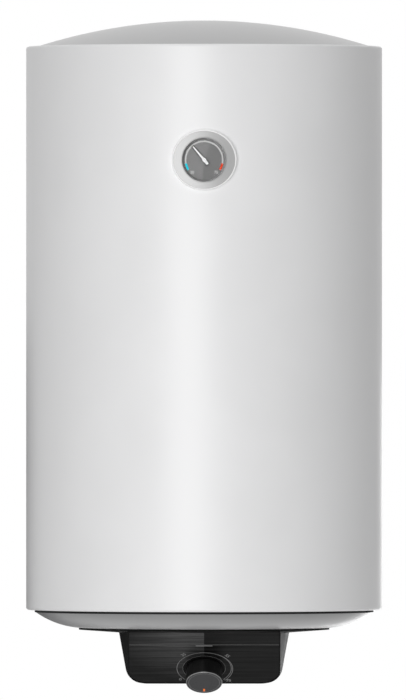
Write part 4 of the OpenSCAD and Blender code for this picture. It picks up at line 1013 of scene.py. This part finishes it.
# %% Barrel, cap and rings
KNOB_R = 23.0
KNOB_H = 22.0
KNOB_STEPS = 128
RING_R = 19.5
RING_HALF = 0.2
barrel = spun([(0, 0.8), (KNOB_R - 0.2, 0.8), (KNOB_R, 2.0), (KNOB_R, KNOB_H - 1.6),
               (KNOB_R - 0.5, KNOB_H - 0.9), (0, KNOB_H - 0.9)], KNOB_STEPS, closed=False)
make_piece("knob_barrel", soften(barrel, 0.3), knob_board, "knob_black", "control_knob",
           ("knob",))
cap = spun([(0, KNOB_H - 0.9), (KNOB_R - 0.55, KNOB_H - 0.9), (KNOB_R - 0.55, KNOB_H - 0.1),
            (RING_R + RING_HALF, KNOB_H - 0.1), (RING_R, KNOB_H - 0.3),
            (RING_R - RING_HALF, KNOB_H - 0.1), (0, KNOB_H - 0.1)], KNOB_STEPS, closed=False)
make_piece("knob_face", cap, knob_board, "knob_grey", "control_knob", ("knob_cap",))
rim = spun([(KNOB_R - 0.75, KNOB_H - 1.0), (KNOB_R - 0.3, KNOB_H - 1.0),
            (KNOB_R - 0.25, KNOB_H - 0.25), (KNOB_R - 0.5, KNOB_H),
            (KNOB_R - 0.75, KNOB_H - 0.1)], KNOB_STEPS)
make_piece("knob_rim", rim, knob_board, "bezel_silver", "control_knob", sharp_above=60)
line = spun(bar(RING_R - RING_HALF, RING_R + RING_HALF, KNOB_H - 0.25, KNOB_H - 0.05),
            KNOB_STEPS)
make_piece("knob_line", line, knob_board, "panel_print", "control_knob")

# %% Marker on the cap
MARKER_W = 2.4
MARKER_OUT = 18.8
MARKER_IN = 13.4
marker = plate(MARKER_W, -MARKER_OUT, -MARKER_IN, 0.4, 1.1, 0.5)
shifted(marker, z=KNOB_H - 0.45)
make_piece("knob_marker", soften(marker, 0.12), knob_board, "pointer_orange", "control_knob",
           ("knob_pointer",))

# %% [markdown]
# ## Thermometer
# A broad oval bezel stands proud of the jacket: a pale edge outside, whose pale colour is a painted
# highlight, a brushed grey face that rises towards the window, and a thin lip round the glass. Its
# outline is a circle made a little wider, and its window is round, so a spin can't make it. Each ring
# of its section is a circle with a stretch of its own, and the rings are bridged one by one.

# %% Bezel
BEZEL_W = 81.6
BEZEL_H = 76.2
BEZEL_OUT = 6.0
BEZEL_BACK = -4.5
EDGE = 1.6
WINDOW_R = 27.3
WINDOW_BACK = -2.4
LIP_R = WINDOW_R + 1.1


def oval_ring(bm, radius, stretch, z):
    place = Matrix.Translation((0, 0, z)) @ Matrix.Scale(stretch, 4, (1, 0, 0))
    made = bmesh.ops.create_circle(bm, segments=144, radius=radius, matrix=place)
    corners = set(made["verts"])
    return [edge for edge in bm.edges if corners.issuperset(edge.verts)]


def ring_of(section):
    bm = bmesh.new()
    rings = [oval_ring(bm, *place) for place in section]
    for first, second in zip(rings, rings[1:] + rings[:1]):
        bmesh.ops.bridge_loops(bm, edges=first + second)
    return clean(bm)


bezel_r = BEZEL_H / 2
wide = BEZEL_W / BEZEL_H
face_r = bezel_r - EDGE
face = ring_of([(face_r, wide, -4.4), (face_r, wide, BEZEL_OUT - 1.5),
                (face_r - 0.3, wide, BEZEL_OUT - 1.2), (LIP_R + 0.2, 1, BEZEL_OUT - 0.2),
                (LIP_R, 1, BEZEL_OUT - 0.4), (LIP_R, 1, WINDOW_BACK)])
make_piece("gauge_bezel", face, gauge_board, "bezel_silver", stands_for=("thermometer_bezel",),
           sharp_above=25)

# %% Pale outer edge with a painted highlight, and the window lip
edge = ring_of([(bezel_r, wide, BEZEL_BACK), (bezel_r, wide, BEZEL_OUT - 2.6),
                (bezel_r - 0.5, wide, BEZEL_OUT - 1.7), (face_r, wide, BEZEL_OUT - 1.1),
                (face_r - 0.2, wide, BEZEL_OUT - 1.3), (face_r - 0.2, wide, BEZEL_BACK)])
make_piece("gauge_edge", edge, gauge_board, "bezel_silver", sharp_above=25,
           finish="edge_painted_highlight")
lip = spun([(WINDOW_R + 1.3, BEZEL_OUT - 0.7), (WINDOW_R + 1.1, BEZEL_OUT - 0.1),
            (WINDOW_R + 0.8, BEZEL_OUT), (WINDOW_R + 0.4, BEZEL_OUT), (WINDOW_R, BEZEL_OUT - 0.5),
            (WINDOW_R, WINDOW_BACK), (WINDOW_R + 1.0, WINDOW_BACK)], 144)
make_piece("gauge_lip", lip, gauge_board, "bezel_silver")

# %% [markdown]
# ### Dial
# Behind the glass lies a flat grey plate with two plain figures. A darker turned ring, which
# slopes a little towards the plate, fills the space between the plate and the lip; its dark grey is
# partly the ring's own colour and partly a painted shade of that gap.

# %% Dial plate, its surround and the figures
DIAL_Z = -1.5
DIAL_R = 24.7
DIAL_STEPS = 128
DIAL_FIGURE = 5.2
DIAL_INK = 0.04
FIGURE_X = 15.0
FIGURE_Y = -15.8
dial = spun(bar(0, DIAL_R, DIAL_Z, DIAL_Z - 0.8), DIAL_STEPS, closed=False)
make_piece("dial_plate", dial, gauge_board, "dial_grey", stands_for=("thermometer_dial",))
# partly painted shade: this ring's dark grey stands for the shade in the gap round the dial
surround = spun([(DIAL_R - 0.2, DIAL_Z - 0.7), (WINDOW_R - 0.1, DIAL_Z - 0.5),
                 (WINDOW_R - 0.1, DIAL_Z - 1.1), (DIAL_R - 0.2, DIAL_Z - 1.1)], DIAL_STEPS)
make_piece("dial_surround", surround, gauge_board, "moulded_dark", finish="surround_grey_and_shade")
for text, x in (("30", -FIGURE_X), ("75", FIGURE_X)):
    place = Matrix.Translation((x, FIGURE_Y, DIAL_Z + 0.05))
    figures("dial_figure_" + text, text, DIAL_FIGURE, DIAL_INK, place, gauge_board, "print_light")

# %% [markdown]
# ### Needle
# The needle is white, and a black layer a little larger lies under it: its dark margin is partly
# the needle's outline and partly a painted shadow of the needle. A few corners give one half of the
# outline, a mirror makes the other, and both layers are extruded. A small domed hub covers the end
# of the spindle.

# %% Two layers of the needle and the hub
NEEDLE_REST = 40.0
SHADOW_MARGIN = 1.1
needle_half = [(0, 21.6), (0.85, 21.6), (1.35, 2.8), (2.6, 0.6), (2.6, -0.6), (1.75, -2.6),
               (1.75, -7.3), (0, -7.3)]
WAIST = 3.0


def needle_layer(grow, low, high):
    """Extrudes the outline, grown sideways and past the tip and the tail."""
    bm = bmesh.new()
    corners = []
    for x, y in needle_half:
        wider = grow if x else 0
        longer = math.copysign(grow, y) if abs(y) > WAIST else 0
        corners.append(bm.verts.new((x + wider, y + longer, low)))
    side = bm.faces.new(corners)
    bmesh.ops.mirror(bm, geom=bm.verts[:] + bm.edges[:] + [side], axis="X", merge_dist=0.001)
    middle = [edge for edge in bm.edges if all(abs(vert.co.x) < 0.001 for vert in edge.verts)]
    bmesh.ops.dissolve_edges(bm, edges=middle)
    return extruded(bm, bm.faces[:], (0, 0, high - low))


turned = gauge_board @ Matrix.Rotation(math.radians(NEEDLE_REST), 4, "Z")
hub = spun([(0, 0.42), (0.7, 0.38), (1.2, 0.2), (1.2, 0), (0, 0)], 48, closed=False)
make_piece("needle_hub", hub, gauge_board, "needle_white", "gauge_needle")
# partly painted shadow: the larger black layer under the white needle gives it a dark margin
make_piece("needle_shadow_layer", needle_layer(SHADOW_MARGIN, -0.6, -0.2), turned, "knob_black", "gauge_needle")
make_piece("needle_front", needle_layer(0.0, -0.2, 0.2), turned, "needle_white", "gauge_needle",
           ("thermometer_needle",))
